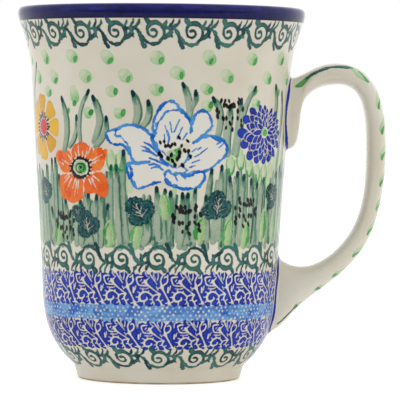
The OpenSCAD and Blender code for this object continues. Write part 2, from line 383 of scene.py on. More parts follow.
def vine_tendrils(brush):
    """Branching cream tendrils, left open in the cobalt."""
    tendrils = [
        # a stem with a star-shaped body, a neck, a hooked arm and a leg
        [[3.2, 1.2, 0.4], [3.4, 0.4, 0.66], [3.7, -0.3, 0.4], [4.5, -1.9, 0.3], [5.2, -3.4, 0.32],
         [5.6, -4.4, 0.6]],
        [[3.4, 0.8, 0.4], [3.0, 2.4, 0.28], [3.6, 3.9, 0.28], [4.4, 5.0, 0.3]],
        [[3.9, 1.1, 0.34], [4.8, 1.8, 0.3], [5.1, 2.8, 0.28], [4.7, 3.6, 0.3], [4.0, 3.3, 0.2]],
        [[5.4, -4.2, 0.3], [4.4, -4.3, 0.18]], [[3.2, 0.4, 0.3], [2.4, 0.3, 0.14]],
        # a branch with a leaf on its end and a square hook
        [[-1.7, 2.5, 0.5], [-1.5, 2.1, 0.64], [-0.9, 1.3, 0.4], [0.4, 0.2, 0.28], [1.6, -0.7, 0.26],
         [2.9, -1.6, 0.32]],
        [[-0.5, 1.0, 0.24], [-2.0, 1.0, 0.28], [-3.4, 1.2, 0.3], [-4.0, 2.3, 0.3], [-4.1, 3.3, 0.34],
         [-3.2, 3.6, 0.32], [-2.3, 3.6, 0.2]],
        [[-1.8, 2.0, 0.3], [-2.5, 1.8, 0.14]], [[-1.2, 2.6, 0.3], [-0.6, 3.1, 0.14]],
        [[-2.6, 2.8, 0.2], [-3.0, 2.3, 0.14]],
        # a curl with a dark eye, thorned on its back
        [[2.9, -1.7, 0.3], [1.6, -1.7, 0.28], [0.6, -2.0, 0.3], [-0.4, -1.2, 0.3], [-1.6, -0.8, 0.34],
         [-2.9, -1.4, 0.42], [-3.4, -2.5, 0.46], [-2.9, -3.5, 0.42], [-1.8, -3.5, 0.36],
         [-1.0, -2.9, 0.3], [-1.2, -2.4, 0.2]],
        [[-3.0, -1.3, 0.3], [-3.9, -0.8, 0.14]], [[-3.6, -2.4, 0.3], [-4.4, -2.3, 0.14]],
        [[-3.2, -3.3, 0.3], [-4.0, -3.9, 0.14]], [[-1.9, -3.7, 0.3], [-2.0, -4.7, 0.16]],
        [[-2.0, -0.9, 0.3], [-2.4, -0.2, 0.14]], [[-0.7, -1.1, 0.3], [-0.5, -0.5, 0.14]],
        # two fringed roots under it
        [[0.7, -2.0, 0.32], [0.5, -3.2, 0.28], [1.0, -4.2, 0.28], [1.0, -5.3, 0.3]],
        [[0.5, -3.0, 0.2], [-0.2, -3.1, 0.14]], [[0.8, -3.8, 0.2], [0.1, -4.4, 0.14]],
        [[2.7, -1.8, 0.3], [2.3, -3.0, 0.3], [3.0, -4.1, 0.3], [3.3, -5.2, 0.3]],
        [[2.3, -3.0, 0.24], [1.6, -3.3, 0.14]], [[2.8, -3.7, 0.24], [3.7, -3.2, 0.16]],
        # shoots between them, open at the top edge
        [[-0.4, 5.0, 0.3], [0.2, 3.9, 0.28], [1.1, 2.6, 0.26], [1.9, 1.5, 0.16]],
        [[-1.5, 4.8, 0.24], [-1.0, 3.8, 0.2], [-0.3, 3.4, 0.16]],
        [[0.9, 4.9, 0.18], [1.0, 3.9, 0.16], [1.5, 3.0, 0.12]],
        [[2.3, 4.9, 0.2], [2.3, 3.6, 0.18], [2.0, 2.6, 0.12]], [[-5.1, 0.5, 0.28], [-5.1, -0.9, 0.4]],
        [[-5.3, 4.2, 0.26], [-5.3, 2.8, 0.18]], [[-4.6, -0.2, 0.14], [-4.4, 1.0, 0.16]],
        [[-4.9, -4.9, 0.26], [-4.6, -3.6, 0.14]], [[1.7, 0.7, 0.14], [2.2, -0.2, 0.16]],
        [[-3.1, 0.2, 0.14], [-1.4, 0.1, 0.18], [-0.7, 0.3, 0.12]],
    ]
    for tendril in tendrils:
        brush.clear([[x, y, max(0.7 * w, 0.15)] for x, y, w in tendril], ["cobalt"], outline=False)


def stamps(canvas, count, first, z, size, turn=0.0):
    """Brushes for a ring of stamps, each a little out of line."""
    for angle in ring_points(count, first):
        lift, lean = vary(-0.25, 0.25), vary(-2, 2)
        yield Brush(canvas, angle, z + lift, size, turn + lean)


def border(*place):
    """A ring of scrolls."""
    for brush in stamps(*place):
        scroll_stamp(brush)


def vine_band(*place):
    """Blocks of cobalt that touch, with the tendrils of all of them opened afterwards."""
    brushes = list(stamps(*place))
    for draw in (vine_ground, vine_tendrils):
        for brush in brushes:
            draw(brush)


def speckle_band(canvas, low, high):
    """A light blue wash of uneven strokes with open round dots."""
    # The wash itself
    for z in np.linspace(low + 0.8, high - 0.8, 4):
        angle = -180.0
        while angle < 180:
            wide = vary(1.4, 3.2)
            brush = Brush(canvas, angle + vary(-1, 1), z + vary(-0.2, 0.3))
            brush.stroke("wash", [[-wide, vary(-0.3, 0.3), 0.8], [0, 0, 1.0],
                                  [wide, vary(-0.3, 0.3), 0.8]],
                         tone=vary(0.1, 0.8), steps=2)
            angle += wide * 2.6
    # Heavier blots along its middle
    middle = (low + high) / 2
    for angle in ring_points(22, 3.0):
        brush = Brush(canvas, angle + vary(-1, 1), middle + vary(0.2, 0.9))
        for x, y, size in ((-1.2, -0.6, 0.9), (0.3, 0.6, 1.2), (1.7, 0.4, 0.8)):
            brush.stroke("wash", [[x - 0.5, y, size], [x + 0.5, y + vary(-0.3, 0.5), size]],
                         tone=vary(0.7, 1.1), steps=2)
    # Rows of round openings, every other row shifted by half a step
    per_row = 134
    for level, z in enumerate(np.linspace(low + 0.6, high - 0.6, 4)):
        for k in range(per_row):
            angle = 360 * (k + 0.5 * (level % 2)) / per_row + vary(-0.5, 0.5)
            brush = Brush(canvas, angle - 180, z + vary(-0.25, 0.25))
            r = vary(0.2, 0.42)
            lean = vary(-0.4, 0.4)
            brush.clear([[-r, -lean * r], [lean * r, -r], [r, lean * r], [-lean * r, r]], ["wash"])


# ---- flowers, leaves and grass

BEHIND = ["pale", "sage", "green", "teal", "shade", "lime"]


def dot(canvas, angle, z, wide, tall, core):
    """A pale dab, thin at its upper left, with a darker green touch on its lower right."""
    brush = Brush(canvas, angle, z, 1.0, vary(-14, 14))
    half = 0.85 * min(wide, tall)
    dab = [[-0.5 * (wide - 1.2), 0.45 * (tall - 1.2), 0.86 * half], [0, 0.05, half],
           [0.6 * (wide - 1.3), -0.5 * (tall - 1.4), 0.9 * half]]
    strength = vary(0.6, 1.0)
    brush.stroke("pale", dab, tone=lambda along, across: 0.32 + strength * (along - 0.15 * across ** 2),
                 wobble=0.06)
    brush.spot("green", core[0] + vary(-0.1, 0.2), core[1], vary(0.7, 0.9),
               vary(1.1, 1.35), vary(-35, -10), tone=vary(0.4, 0.9))


def brushed(low, high):
    """A tone that goes from low at a stroke's right side to high at its left, with faint bars."""
    def tone(along, across):
        share = 0.5 - 0.5 * np.clip(-across, -1, 1)
        return low + (high - low) * share + 0.12 * np.sin(7 * along)
    return tone


def blade(canvas, path, width, dab=True):
    """A blade of grass through [angle, z] points, from its tip down to its base, with a thin gap
    around it, a dark line down its right edge and a dark dab on its tip."""
    angle0, z0 = path[-1]
    brush = Brush(canvas, angle0, z0)
    base = s_at(z0)
    line = np.array([[math.radians((a - angle0 + 180) % 360 - 180) * radius_at(z), s_at(z) - base]
                     for a, z in path])
    curve = smooth(line, 4)
    t = np.linspace(0, 1, len(curve))
    swell = width * np.interp(t, [0, 0.2, 0.6, 1], [0.34, 0.86, 1.0, 0.8]) * vary(0.92, 1.08)
    body = np.column_stack([curve, swell])
    brush.clear(body, ["pale", "sage", "shade", "lime", "green"], 0.08, outline=False, steps=1)
    brush.stroke("sage", body, tone=brushed(vary(-0.05, 0.2), vary(0.3, 0.75)), steps=1)
    along = np.gradient(curve, axis=0)
    along /= np.linalg.norm(along, axis=1)[:, None] + 1e-9
    right = np.stack([-along[:, 1], along[:, 0]], 1)
    side = curve + right * (swell * 0.8)[:, None]
    thin = np.interp(t, [0, 0.2, 0.7, 1], [0.3, 0.38, 0.36, 0.2]) * vary(0.6, 1.2)
    brush.stroke("shade", np.column_stack([side, thin]), tone=vary(0.2, 1.0), steps=1, wobble=0.2)
    if dab:
        (x0, y0), (x1, y1) = line[0], line[1]
        lean = (x1 - x0) / max(abs(y1 - y0), 0.5)
        size = vary(0.9, 1.15)
        brush.stroke("shade", [[x0, y0, 0.5], [x0 + 1.6 * lean, y0 - 2.2, 0.6],
                               [x0 + 3 * lean, y0 - 4, 0.2]],
                     tone=lambda along, across: 1.0 - along)
        brush.stroke("teal", [[x0, y0 + 0.2, 0.46 * size], [x0 + 0.5 * lean, y0 - 0.55, 0.62 * size],
                              [x0 + lean, y0 - 1.2, 0.4 * size]], tone=1.0)


def seeds(canvas, angle, z, wide=1.0, tall=1.0):
    """A cloud of small black dabs with some lean; a negative width mirrors the cloud."""
    brush = Brush(canvas, angle, z)
    for x, y in SEED_CLOUD:
        x, y = wide * x, tall * y
        lean = vary(-0.12, 0.34)
        size = vary(0.98, 1.34)
        brush.stroke("black", [[x - lean, y + 0.44 * size, 0.3 * size], [x, y, 0.46 * size],
                               [x + lean, y - 0.42 * size, 0.34 * size]], steps=2)


SEED_CLOUD = [[-3.5, 4.6], [-2.1, 4.6], [-0.7, 4.6], [3.2, 5.1], [2.9, 3.9], [-2.4, 3.3], [-1.4, 3.0],
              [-0.4, 2.8], [0.6, 3.1], [1.3, 3.3], [-4.9, 1.7], [-4.2, 0.9], [-4.6, -0.3], [2.8, 1.4],
              [4.8, 2.0], [-2.6, -0.9], [-1.4, -0.8], [0.9, -0.9], [2.9, -0.8], [4.3, -1.5],
              [0.0, -2.4], [-1.4, -3.8], [1.0, -4.4], [4.5, -3.2]]


def white_flower(canvas, angle, z):
    """A big open flower in sky-blue outline, with black stamens over a green eye."""
    b = Brush(canvas, angle, z)
    petals = {
        "top": [[-7.0, 6.0], [-7.4, 10], [-5.9, 13.6], [-4.2, 15.9], [-2.2, 16.8], [-0.2, 15.8],
                [0.9, 14.3], [2.6, 12.6], [4.3, 10.4], [4.8, 7.6], [3.6, 4.5], [0, 2], [-4, 2]],
        "top_right": [[4.4, 7.0], [4.9, 10], [5.6, 12.2], [7.2, 13.6], [9.0, 13.7], [10.5, 12.4],
                      [11.4, 9.2], [9.4, 7.0], [7.4, 5.4], [5.4, 3.8], [3.5, 3.5]],
        "right": [[5.6, 3.9], [8.9, 5.7], [11.6, 5.9], [14.4, 5.0], [16.3, 3.6], [17.0, 1.9],
                  [16.0, -0.5], [13.6, -2.4], [11.0, -4.3], [8.6, -5.2], [5.5, -4.9], [1, -2]],
        "bottom": [[-3.3, -7.6], [-3.4, -5.8], [-1.5, -4.0], [3.0, -4.6], [6.6, -5.3], [8.9, -5.4],
                   [9.2, -7.2], [8.2, -9.1], [6.2, -10.4], [3.4, -10.6], [0.6, -10.1], [-1.6, -9.3]],
        "low_left": [[-5.0, -1.5], [-9.2, -2.3], [-12.4, -2.7], [-15.2, -2.9], [-15.4, -5],
                     [-14.6, -7.2], [-13.4, -8.8], [-12.3, -10.5], [-10.2, -10.2], [-7.4, -9.1],
                     [-4.8, -8.5], [-2.6, -7.4], [-1.5, -4.5]],
        "left": [[-7.4, 5.6], [-9.0, 7.3], [-11.2, 8.4], [-13.8, 9.2], [-16.6, 9.0], [-18.9, 7.9],
                 [-22.4, 6.9], [-22.0, 4.8], [-20.2, 3.2], [-17.0, 3.0], [-15.3, 1.4], [-14.1, -1.0],
                 [-12.6, -2.6], [-8.5, -2.2], [-3.0, -1.0], [-4.5, 3.5]],
    }
    for outline in petals.values():
        b.clear(outline, BEHIND + ["black"])
        b.shape("white", outline)

    edges = [  # points and half width
        (petals["top"][:10], 0.44),
        ([[-6.6, 6.6], [-6.0, 9.4], [-4.6, 11.8], [-3.2, 13.5], [-1.4, 13.9], [1.0, 14.0]], 0.3),
        (petals["top_right"][:10], 0.44),
        (petals["right"][:11], 0.44),
        ([[-3.3, -7.6], [-3.4, -5.9], [-2.4, -4.9], [-1.2, -6.0], [1.4, -5.7], [4.2, -6.5], [6.6, -5.4],
          [8.9, -5.5], [9.2, -7.2], [8.2, -9.1], [6.2, -10.4], [3.4, -10.6], [0.6, -10.1], [-1.6, -9.3],
          [-3.2, -7.8]], 0.44),
        (petals["low_left"][1:11], 0.44),
        (petals["left"][:14], 0.44),
        ([[-19.2, 7.7], [-19.4, 5.9], [-17.8, 5.6], [-16.3, 4.1], [-14.9, 2.5], [-14.3, 0.2]], 0.3),
        ([[-10.7, 7.9], [-8.6, 6.4], [-7.4, 4.4], [-5.9, 2.2], [-5.2, 0.2]], 0.42),
        ([[-14.9, -3.2], [-14.0, -4.8], [-14.2, -6.8]], 0.5),
    ]
    for points, width in edges:
        phase = vary(0, 6)
        b.stroke("sky", [[x, y, width] for x, y in points], steps=7, wobble=0.26,
                 tone=lambda along, across: 0.6 + 0.35 * np.sin(11 * along + phase))
    veins = [
        [[-3.7, 9.0], [-2.7, 5.8]], [[-2.1, 10.4], [-1.5, 7.0]], [[0.8, 11.0], [-0.8, 7.2]],
        [[1.8, 8.6], [0.1, 5.0]],
        [[-3.9, 6.4], [-3.6, 4.0]], [[3.2, 6.8], [1.9, 4.8]], [[-6.8, 10.2], [-6.2, 8.2]],
        [[-10.2, 3.9], [-8.2, 2.9], [-6.2, 0.9]], [[-10.6, 1.3], [-8.2, 0.8], [-6.0, -0.4]],
        [[-8.4, -1.0], [-6.4, -1.7], [-3.8, -3.1]], [[-8.0, 4.8], [-6.4, 1.6], [-4.8, -0.6]],
        [[-7.7, -4.2], [-5.8, -3.7], [-3.9, -4.8]], [[-0.6, -6.2], [0.4, -8.0]],
        [[1.4, -6.0], [2.9, -7.4]], [[4.9, 1.0], [6.3, 2.0]], [[3.9, -1.6], [4.8, -0.1]],
        [[5.8, -0.6], [7.4, 0.2]], [[6.8, 1.7], [7.9, 2.4]], [[4.2, -3.9], [6.2, -3.3]],
        [[13.9, 2.3], [15.4, 3.5]], [[13.2, 3.4], [14.6, 4.2]], [[3.3, -4.6], [1.9, -3.4], [0.8, -3.7]],
        [[5.4, -5.2], [3.4, -5.9]], [[-3.4, -2.2], [-2.0, -3.2], [0.2, -4.2]],
        [[-4.4, 1.2], [-3.2, -0.2]], [[2.2, -2.8], [3.4, -1.4], [3.8, 0.6]],
        [[-2.8, 7.6], [-2.4, 5.2], [-2.6, 3.6]], [[-8.6, -3.2], [-6.8, -2.9], [-5.0, -3.6]],
        [[2.4, -5.6], [3.6, -4.8]], [[7.8, 0.6], [10.0, 2.2]], [[-11.0, 2.6], [-9.2, 2.0], [-7.0, 0.2]],
        [[5.0, -2.4], [7.4, -1.6]],
    ]
    for vein in veins:
        p = [[x, y, 0.24 if k in (0, len(vein) - 1) else 0.36] for k, (x, y) in enumerate(vein)]
        b.stroke("sky", p, tone=vary(0.3, 0.8), wobble=0.12)
    b.stroke("sky", [[-5.2, 0.4, 0.3], [-4.6, -1.4, 0.55], [-3.4, -2.7, 0.5], [-2.6, -3.6, 0.2]],
             tone=0.8)
    b.stroke("sky", [[11.4, 5.6, 0.25], [13.2, 4.9, 0.55], [14.6, 4.3, 0.3]], tone=0.8)
    b.stroke("sky", [[0.2, -10.1, 0.3], [2.6, -10.7, 0.5], [4.6, -10.3, 0.3]], tone=0.9)
    b.spot("pale", -1.2, -0.6, 2.5, 2.2, 20, tone=0.8)
    b.spot("green", 0.4, 1.5, 1.1, 1.3, 30, tone=0.7)
    b.spot("green", -0.5, -0.5, 1.0, 0.8, 0, tone=0.3)
    stamens = [[-5.1, 3.9], [-3.9, 4.2], [-3.5, 2.8], [-2.7, 3.0], [-2.1, 2.6], [-1.4, 3.2],
               [-0.5, 3.4], [0.8, 5.4], [1.6, 2.9], [3.5, 4.4], [1.0, 0.9], [0.9, -0.3], [2.6, 1.4],
               [3.8, 1.2], [4.4, -0.4], [-5.4, 0.4], [-4.7, -0.3], [-2.6, -1.1], [-1.6, 0.0],
               [-1.2, -1.8], [0.3, -1.2], [-0.4, -3.1], [2.0, -3.2]]
    for x, y in stamens:
        lean = vary(-0.1, 0.4)
        fat = vary(1.0, 1.2) * (1.16 if y < 1.5 else 0.92)
        b.stroke("black", [[x - lean, y + 0.42 * fat, 0.28], [x, y, 0.46 * fat],
                           [x + lean, y - 0.42 * fat, 0.3]],
                 steps=2)


def orange_flower(canvas, angle, z):
    """Five broad petals with open veins around a black-ringed green eye."""
    b = Brush(canvas, angle, z)
    petals = [
        [[-3.6, 2.8], [-3.3, 5.3], [-2.1, 7.0], [0, 7.7], [2.4, 7.5], [3.5, 6.6], [4.3, 6.7],
         [4.9, 5.2], [4.0, 3.0], [0, 1]],
        [[4.6, 3.0], [5.8, 5.7], [7.0, 6.1], [8.2, 5.2], [9.9, 5.8], [9.4, 3.2], [8.4, 0.6],
         [6.6, -1.0], [4.0, -0.4]],
        [[4.4, -2.2], [6.3, -1.5], [7.8, -1.3], [9.2, -3.2], [9.8, -5.7], [9.4, -8.4], [7.4, -8.9],
         [5.6, -7.8], [3.9, -7.9], [1.5, -7.6], [1.5, -5.2], [2.4, -2.8]],
        [[0.3, -3.6], [0.8, -6.7], [0.4, -9.2], [-1.2, -10.4], [-3.9, -11.0], [-6.3, -10.2],
         [-8.8, -9.3], [-9.5, -6.7], [-9.6, -3.4], [-7.4, -2.3], [-4.6, -2.2], [-2.2, -3.2]],
        [[-4.0, -1.5], [-7.7, -1.5], [-10.2, 1.3], [-11.3, 3.8], [-9.2, 5.2], [-6.9, 4.4], [-4.9, 5.1],
         [-3.8, 2.6], [-3.6, 0.2]],
    ]
    for outline in petals:
        b.clear(outline, BEHIND, 0.15)
    for outline in petals:
        b.shape("orange", outline, tone=vary(0.3, 0.8), grow=0.26)
    for seam in ([[3.0, 4.0, 0.12], [3.8, 5.6, 0.2], [4.8, 7.4, 0.4]],
                 [[4.6, -1.3, 0.12], [6.2, -1.2, 0.2], [8.6, -0.9, 0.4]],
                 [[1.4, -3.8, 0.12], [1.0, -5.8, 0.2], [1.0, -8.8, 0.36]],
                 [[-4.0, -1.9, 0.12], [-6.2, -1.9, 0.2], [-9.4, -2.2, 0.4]],
                 [[-3.4, 3.0, 0.12], [-4.0, 4.4, 0.2], [-4.8, 6.2, 0.4]]):
        b.clear(seam, ["orange"], outline=False)
    for x, y, lean in ((8.0, 4.6, 20), (8.2, -6.0, -60), (-6.0, -7.6, 40), (-8.8, 3.0, 30)):
        b.spot("orange", x, y, 1.2, 2.0, lean, tone=1.0)
    veins = [[[-5.8, 4.2], [-3.9, 2.4]], [[-8.0, 2.2], [-4.6, 0.7]], [[-7.4, -5.0], [-5.0, -2.9]],
             [[-5.8, -6.6], [-4.0, -3.6]], [[-3.4, -6.2], [-2.3, -3.8]], [[-1.4, -7.4], [-1.0, -4.2]],
             [[-2.2, 5.6], [-1.5, 3.4]], [[1.0, 5.2], [1.0, 3.3]], [[6.9, 2.4], [4.8, 1.4]],
             [[4.2, -5.6], [3.2, -3.6]], [[6.9, -4.2], [4.9, -2.6]], [[2.6, 5.6], [2.1, 3.6]],
             [[-9.3, 1.6], [-7.6, 0.9]], [[-0.6, 6.4], [-0.3, 3.2]], [[7.6, 3.8], [4.6, 2.2]],
             [[5.6, -6.2], [4.2, -3.4]], [[-7.0, -3.6], [-4.6, -1.9]], [[-2.9, -8.4], [-1.8, -4.4]]]
    for (ax, ay), (bx, by) in veins:
        ax, ay = 1.12 * ax, 1.12 * ay
        b.clear([[ax, ay, 0.04], [(ax + bx) / 2 + vary(-0.2, 0.2), (ay + by) / 2 + 0.15, 0.18],
                 [bx, by, 0.26]],
                ["orange"], outline=False)
    b.clear(oval(0, 0, 4.3, 3.4, 30), ["orange"])
    eye = [[3.5 * math.cos(a), 3.0 * math.sin(a), 0.4 + 0.16 * math.sin(2 * a)]
           for a in np.radians(range(0, 361, 24))]
    b.stroke("black", eye, steps=3, wobble=0.3)
    for a in ring_points(17, 5):
        a += vary(-5, 5)
        r = vary(4.0, 4.9)
        x, y = polar(r, a)
        y *= 0.82
        b.stroke("black", [[0.8 * x, 0.8 * y, 0.4], [x, y, 0.24]], steps=2)
    b.spot("pale", 0, 0, 2.7, 2.2, 0, tone=0.9)
    b.spot("green", 0.7, 0.0, 1.7, 1.6, 0, tone=0.75)
    curl = [[(1.1 + 0.55 * k / 8) * math.cos(a) * 1.3, (1.1 + 0.55 * k / 8) * math.sin(a), 0.22]
            for k, a in enumerate(np.radians(range(-40, 320, 40)))]
    b.stroke("black", curl, steps=3)
    b.spot("black", 0.1, 0.1, 0.55, 0.5)


def yellow_flower(canvas, angle, z, size):
    """Eight blunt petals around a red eye with a ring of short black dashes."""
    b = Brush(canvas, angle, z, size)
    b.clear([polar(10.4, a) for a in ring_points(16)], BEHIND)
    for a in ring_points(8):
        lean = a + vary(-3, 3)
        reach = vary(0.96, 1.05)
        outline = [polar(4.4, lean - 15), polar(6.6, lean - 19), polar(9.2 * reach, lean - 20),
                   polar(10.8 * reach, lean - 15), polar(10.9 * reach, lean - 4),
                   polar(11.3 * reach, lean + 8), polar(10.2 * reach, lean + 19), polar(6.8, lean + 20),
                   polar(4.4, lean + 15)]
        b.shape("yellow", outline, tone=vary(0.1, 0.9), steps=3)
    b.clear([polar(4.7, a) for a in ring_points(12)], ["yellow"])
    b.spot("red", 0.2, 0, 2.9, 2.9, tone=0.8)
    for k, a in enumerate(ring_points(22)):
        near, far = (3.2, 4.3) if k % 2 else (3.5, 5.0)
        b.stroke("black", [[*polar(near, a), 0.34], [*polar(far, a + vary(-5, 5)), 0.4]], steps=1)


def dahlia(canvas, angle, z):
    """Rings of close cobalt petals around a green eye; the lower left ones are the largest."""
    b = Brush(canvas, angle, z)
    b.clear(oval(-1.0, -0.7, 9.4, 8.0, 20), BEHIND)
    for k, (share, count) in enumerate(((0.9, 16), (0.72, 16), (0.55, 13), (0.41, 13), (0.29, 10))):
        for a in ring_points(count, 180 / count * (k % 2)):
            a += vary(-3, 3)
            low_left = math.cos(math.radians(a - 225))
            hull = 9.3 + math.cos(math.radians(2 * a)) + 0.98 * low_left
            hull *= vary(0.92, 1.06)
            r = share * hull
            x, y = polar(r, a)
            long = (0.17 * hull + 0.4 * (1 - share)) * (1 - 0.12 * low_left)
            wide = math.pi * r / count * (0.9 + 0.14 * low_left) * vary(0.88, 1.06)
            ux, uy = polar(long, a + vary(-14, 14))
            petal = [[x - ux, y - uy, 0.5 * wide], [x, y, 0.86 * wide],
                     [x + 0.6 * ux, y + 0.6 * uy, 0.72 * wide],
                     [x + 1.1 * ux, y + 1.1 * uy, 0.24 * wide]]
            b.clear(petal, ["cobalt"], grow=0.26, outline=False)
            b.stroke("cobalt", petal, tone=vary(0.35, 0.95), steps=3)
    b.clear([polar(1.8, a) for a in ring_points(12)], ["cobalt"])
    b.spot("pale", -0.4, 0.2, 1.6, 1.4, 0, tone=0.9)
    b.spot("green", 0.3, -0.1, 1.2, 1.1, 0, tone=0.6)


def leaf(canvas, angle, z, size, turn):
    """A dark leaf of three fringed lobes, with thin open veins."""
    b = Brush(canvas, angle, z, size, turn)
    # The lobes and the middle that joins them, as x, y, rx, ry and lean
    lobes = [(-1.3, 1.2, 3.1, 3.2, 20), (2.4, 0.5, 2.3, 2.9, -10), (-0.4, -2.2, 3.0, 2.4, 10),
             (0.2, -0.2, 2.8, 2.8, 0)]
    for x, y, rx, ry, lean in lobes:
        c, s = polar(1, lean)

        def around(a, share):
            ex, ey = share * rx * math.cos(math.radians(a)), share * ry * math.sin(math.radians(a))
            return x + c * ex - s * ey, y + s * ex + c * ey
        edge = [around(a, 1.0 + 0.09 * abs(math.sin(math.radians(a * 5 + 60 * x))) + vary(-0.05, 0.05))
                for a in range(0, 360, 7)]
        b.clear(edge, ["sage", "pale", "green", "shade", "lime"], -0.15)
        b.shape("teal", edge, tone=vary(0.75, 1.05), steps=1)
    for x, y, rx, ry, lean in lobes[:3]:
        for a in ring_points(10, 30 * x):
            a += vary(-12, 12)
            far, near = polar(0.95, a), polar(vary(0.55, 0.75), a + 8)
            b.stroke("teal", [[x + rx * near[0], y + ry * near[1], 0.0],
                              [x + rx * far[0], y + ry * far[1], 0.1]],
                     tone=vary(0.1, 0.6), steps=1)
    veins = [[[1.2, -2.3], [0.3, -0.6], [-0.7, 1.2], [-1.9, 3.0]],
             [[0.2, -0.4], [0.6, 0.9], [0.5, 1.7]], [[0.5, -1.0], [-0.7, -0.3], [-2.2, 0.6]],
             [[0.9, -1.7], [-0.4, -1.4], [-1.5, -1.2]], [[-0.4, 0.6], [-1.4, 1.0], [-2.4, 1.9]],
             [[-1.0, 1.6], [-0.7, 2.5]], [[0.8, -1.5], [1.8, -0.3], [2.6, 0.9]],
             [[-3.9, -1.0], [-3.1, -1.1]], [[-0.4, -0.4], [-1.3, -0.6]]]
    for vein in veins:
        p = [[x, y, 0.11 - 0.025 * k] for k, (x, y) in enumerate(vein)]
        b.clear(p, ["teal"], outline=False)


def green_lobe(canvas, angle, z, tall=2.8, wide=1.5):
    """A pale hanging leaf with a green line around its lower end."""
    b = Brush(canvas, angle, z)
    b.stroke("pale", [[-0.1, tall, 0.5 * wide], [0, 0, wide], [0.1, -0.7 * tall, 0.8 * wide]],
             tone=brushed(0.2, 0.9))
    b.stroke("green", [[-wide, 0.7 * tall, 0.14], [-wide, -0.3 * tall, 0.24],
                       [-0.4 * wide, -1.0 * tall, 0.36], [0.5 * wide, -1.0 * tall, 0.42],
                       [wide, -0.2 * tall, 0.26], [wide, 0.6 * tall, 0.12]],
             tone=0.5, wobble=0.1)


def shoot(canvas, angle, z, tall, wide=1.5):
    """A fresh yellow-green leaf low in the grass."""
    b = Brush(canvas, angle, z, 1.0, vary(-12, 12))
    body = [[0.2, tall, 0.55], [0, 0.4 * tall, 0.95 * wide], [-0.1, -0.4 * tall, 1.1 * wide],
            [0, -tall, 0.85 * wide]]
    b.clear(body, ["sage", "shade"], outline=False)
    b.stroke("lime", body, tone=brushed(0.0, 0.9), wobble=0.06)
    side = rng.choice([-1, 1])
    for way, fat, strength in ((side, 0.5, 0.55), (-side, 0.22, 0.0)):
        b.stroke("green", [[0.3, tall, 0.2], [0.9 * way * wide, 0.2 * tall, 0.9 * fat],
                           [1.0 * way * wide, -0.5 * tall, fat], [0.7 * way * wide, -tall, 0.5 * fat]],
                 tone=strength + vary(-0.3, 0.2), wobble=0.3)


# ---------------------------------------------------------------- the whole painting

def paint_vessel(canvas):
    """The cobalt rim, the meadow twice around, and the borders over and under it."""
    rows = canvas.s[:, None]
    navy_low, navy_high = s_at(HEIGHT - RIM_BAND_H), ROW_S[-1] - 0.9
    canvas.fields["navy"] += np.maximum(navy_low - rows, rows - navy_high) - FAR
    # The rim band goes from dark at its foot to a lighter blue at the lip's top. This is partly the
    # glaze running thin over the edge, and partly a painted highlight along the lip.
    lip_thinning_and_highlight = np.clip((rows - navy_low) / (ROW_S[TOP_ROW] - navy_low), 0, 1)
    canvas.tone = np.where(canvas.fields["navy"] < 0.3, 1.0 - 0.75 * lip_thinning_and_highlight ** 1.5, canvas.tone)
    # Short strokes of uneven strength along the lip's top make lighter and darker patches of blue,
    # partly as painted highlight patches.
    for angle in ring_points(60):
        brush = Brush(canvas, angle + vary(-3, 3), HEIGHT - vary(0.3, 1.8))
        long = vary(0.8, 4.5)
        brush.stroke("navy", [[-long, 0, 0.1], [0, vary(-0.2, 0.2), 0.4], [long, 0, 0.1]],
                     tone=vary(0.0, 0.9), steps=2)

    for half in (0, 180):
        paint_meadow(canvas, half)

    border(canvas, 23, -3.4, 110.9, 0.99)
    clear_below(canvas, 42.8)
    border(canvas, 21, -0.6, 40.5, 0.94, 180)
    vine_band(canvas, 22, -4.2, 31.0, 1.06)
    speckle_band(canvas, 20.9, 25.7)
    vine_band(canvas, 20, -2.2, 16.2, 1.0)
    border(canvas, 17, -0.5, 8.3, 0.94)


def clear_below(canvas, z):
    """The meadow's colours end where the lower borders begin."""
    rows = canvas.s[:, None]
    edge = s_at(z) - rows
    for pigment in ("sage", "green", "pale", "shade", "lime"):
        canvas.fields[pigment] = np.maximum(canvas.fields[pigment], edge).astype(np.float32)


# Pale dabs above the grass: width, height, where the green touch lies, and each [angle, height]
DABS = [
    (2.45, 2.35, (1.15, -0.95), [
        (-60, 103.6), (-41.3, 103.6), (-23.5, 103.4), (-1.8, 103.2), (20.5, 103.4), (42.2, 103.2),
        (63.5, 103.5), (83.5, 103.4), (-79, 103.3), (-69, 97.2), (-54, 97.2), (-34.7, 97.4),
        (-15.5, 97.5), (6.8, 98.4), (29.6, 97.6), (53.4, 97.3), (73.5, 97.6), (92, 97.4), (-86, 97.2)]),
    (2.1, 4.0, (0.2, -2.9), [(-41, 91.8)]),
    (2.3, 2.0, (1.5, -0.2), [
        (-59.5, 92.6), (-22, 92.6), (-2.3, 93.3), (19.7, 93.6), (43.4, 93.2), (62, 93), (82, 92.8),
        (-79, 92.4)]),
    (1.9, 2.1, (1.3, 0.3), [
        (-33.7, 86), (-18.6, 85.8), (20.4, 88.2), (46, 89), (-47, 86), (78, 87), (-88, 87)]),
]


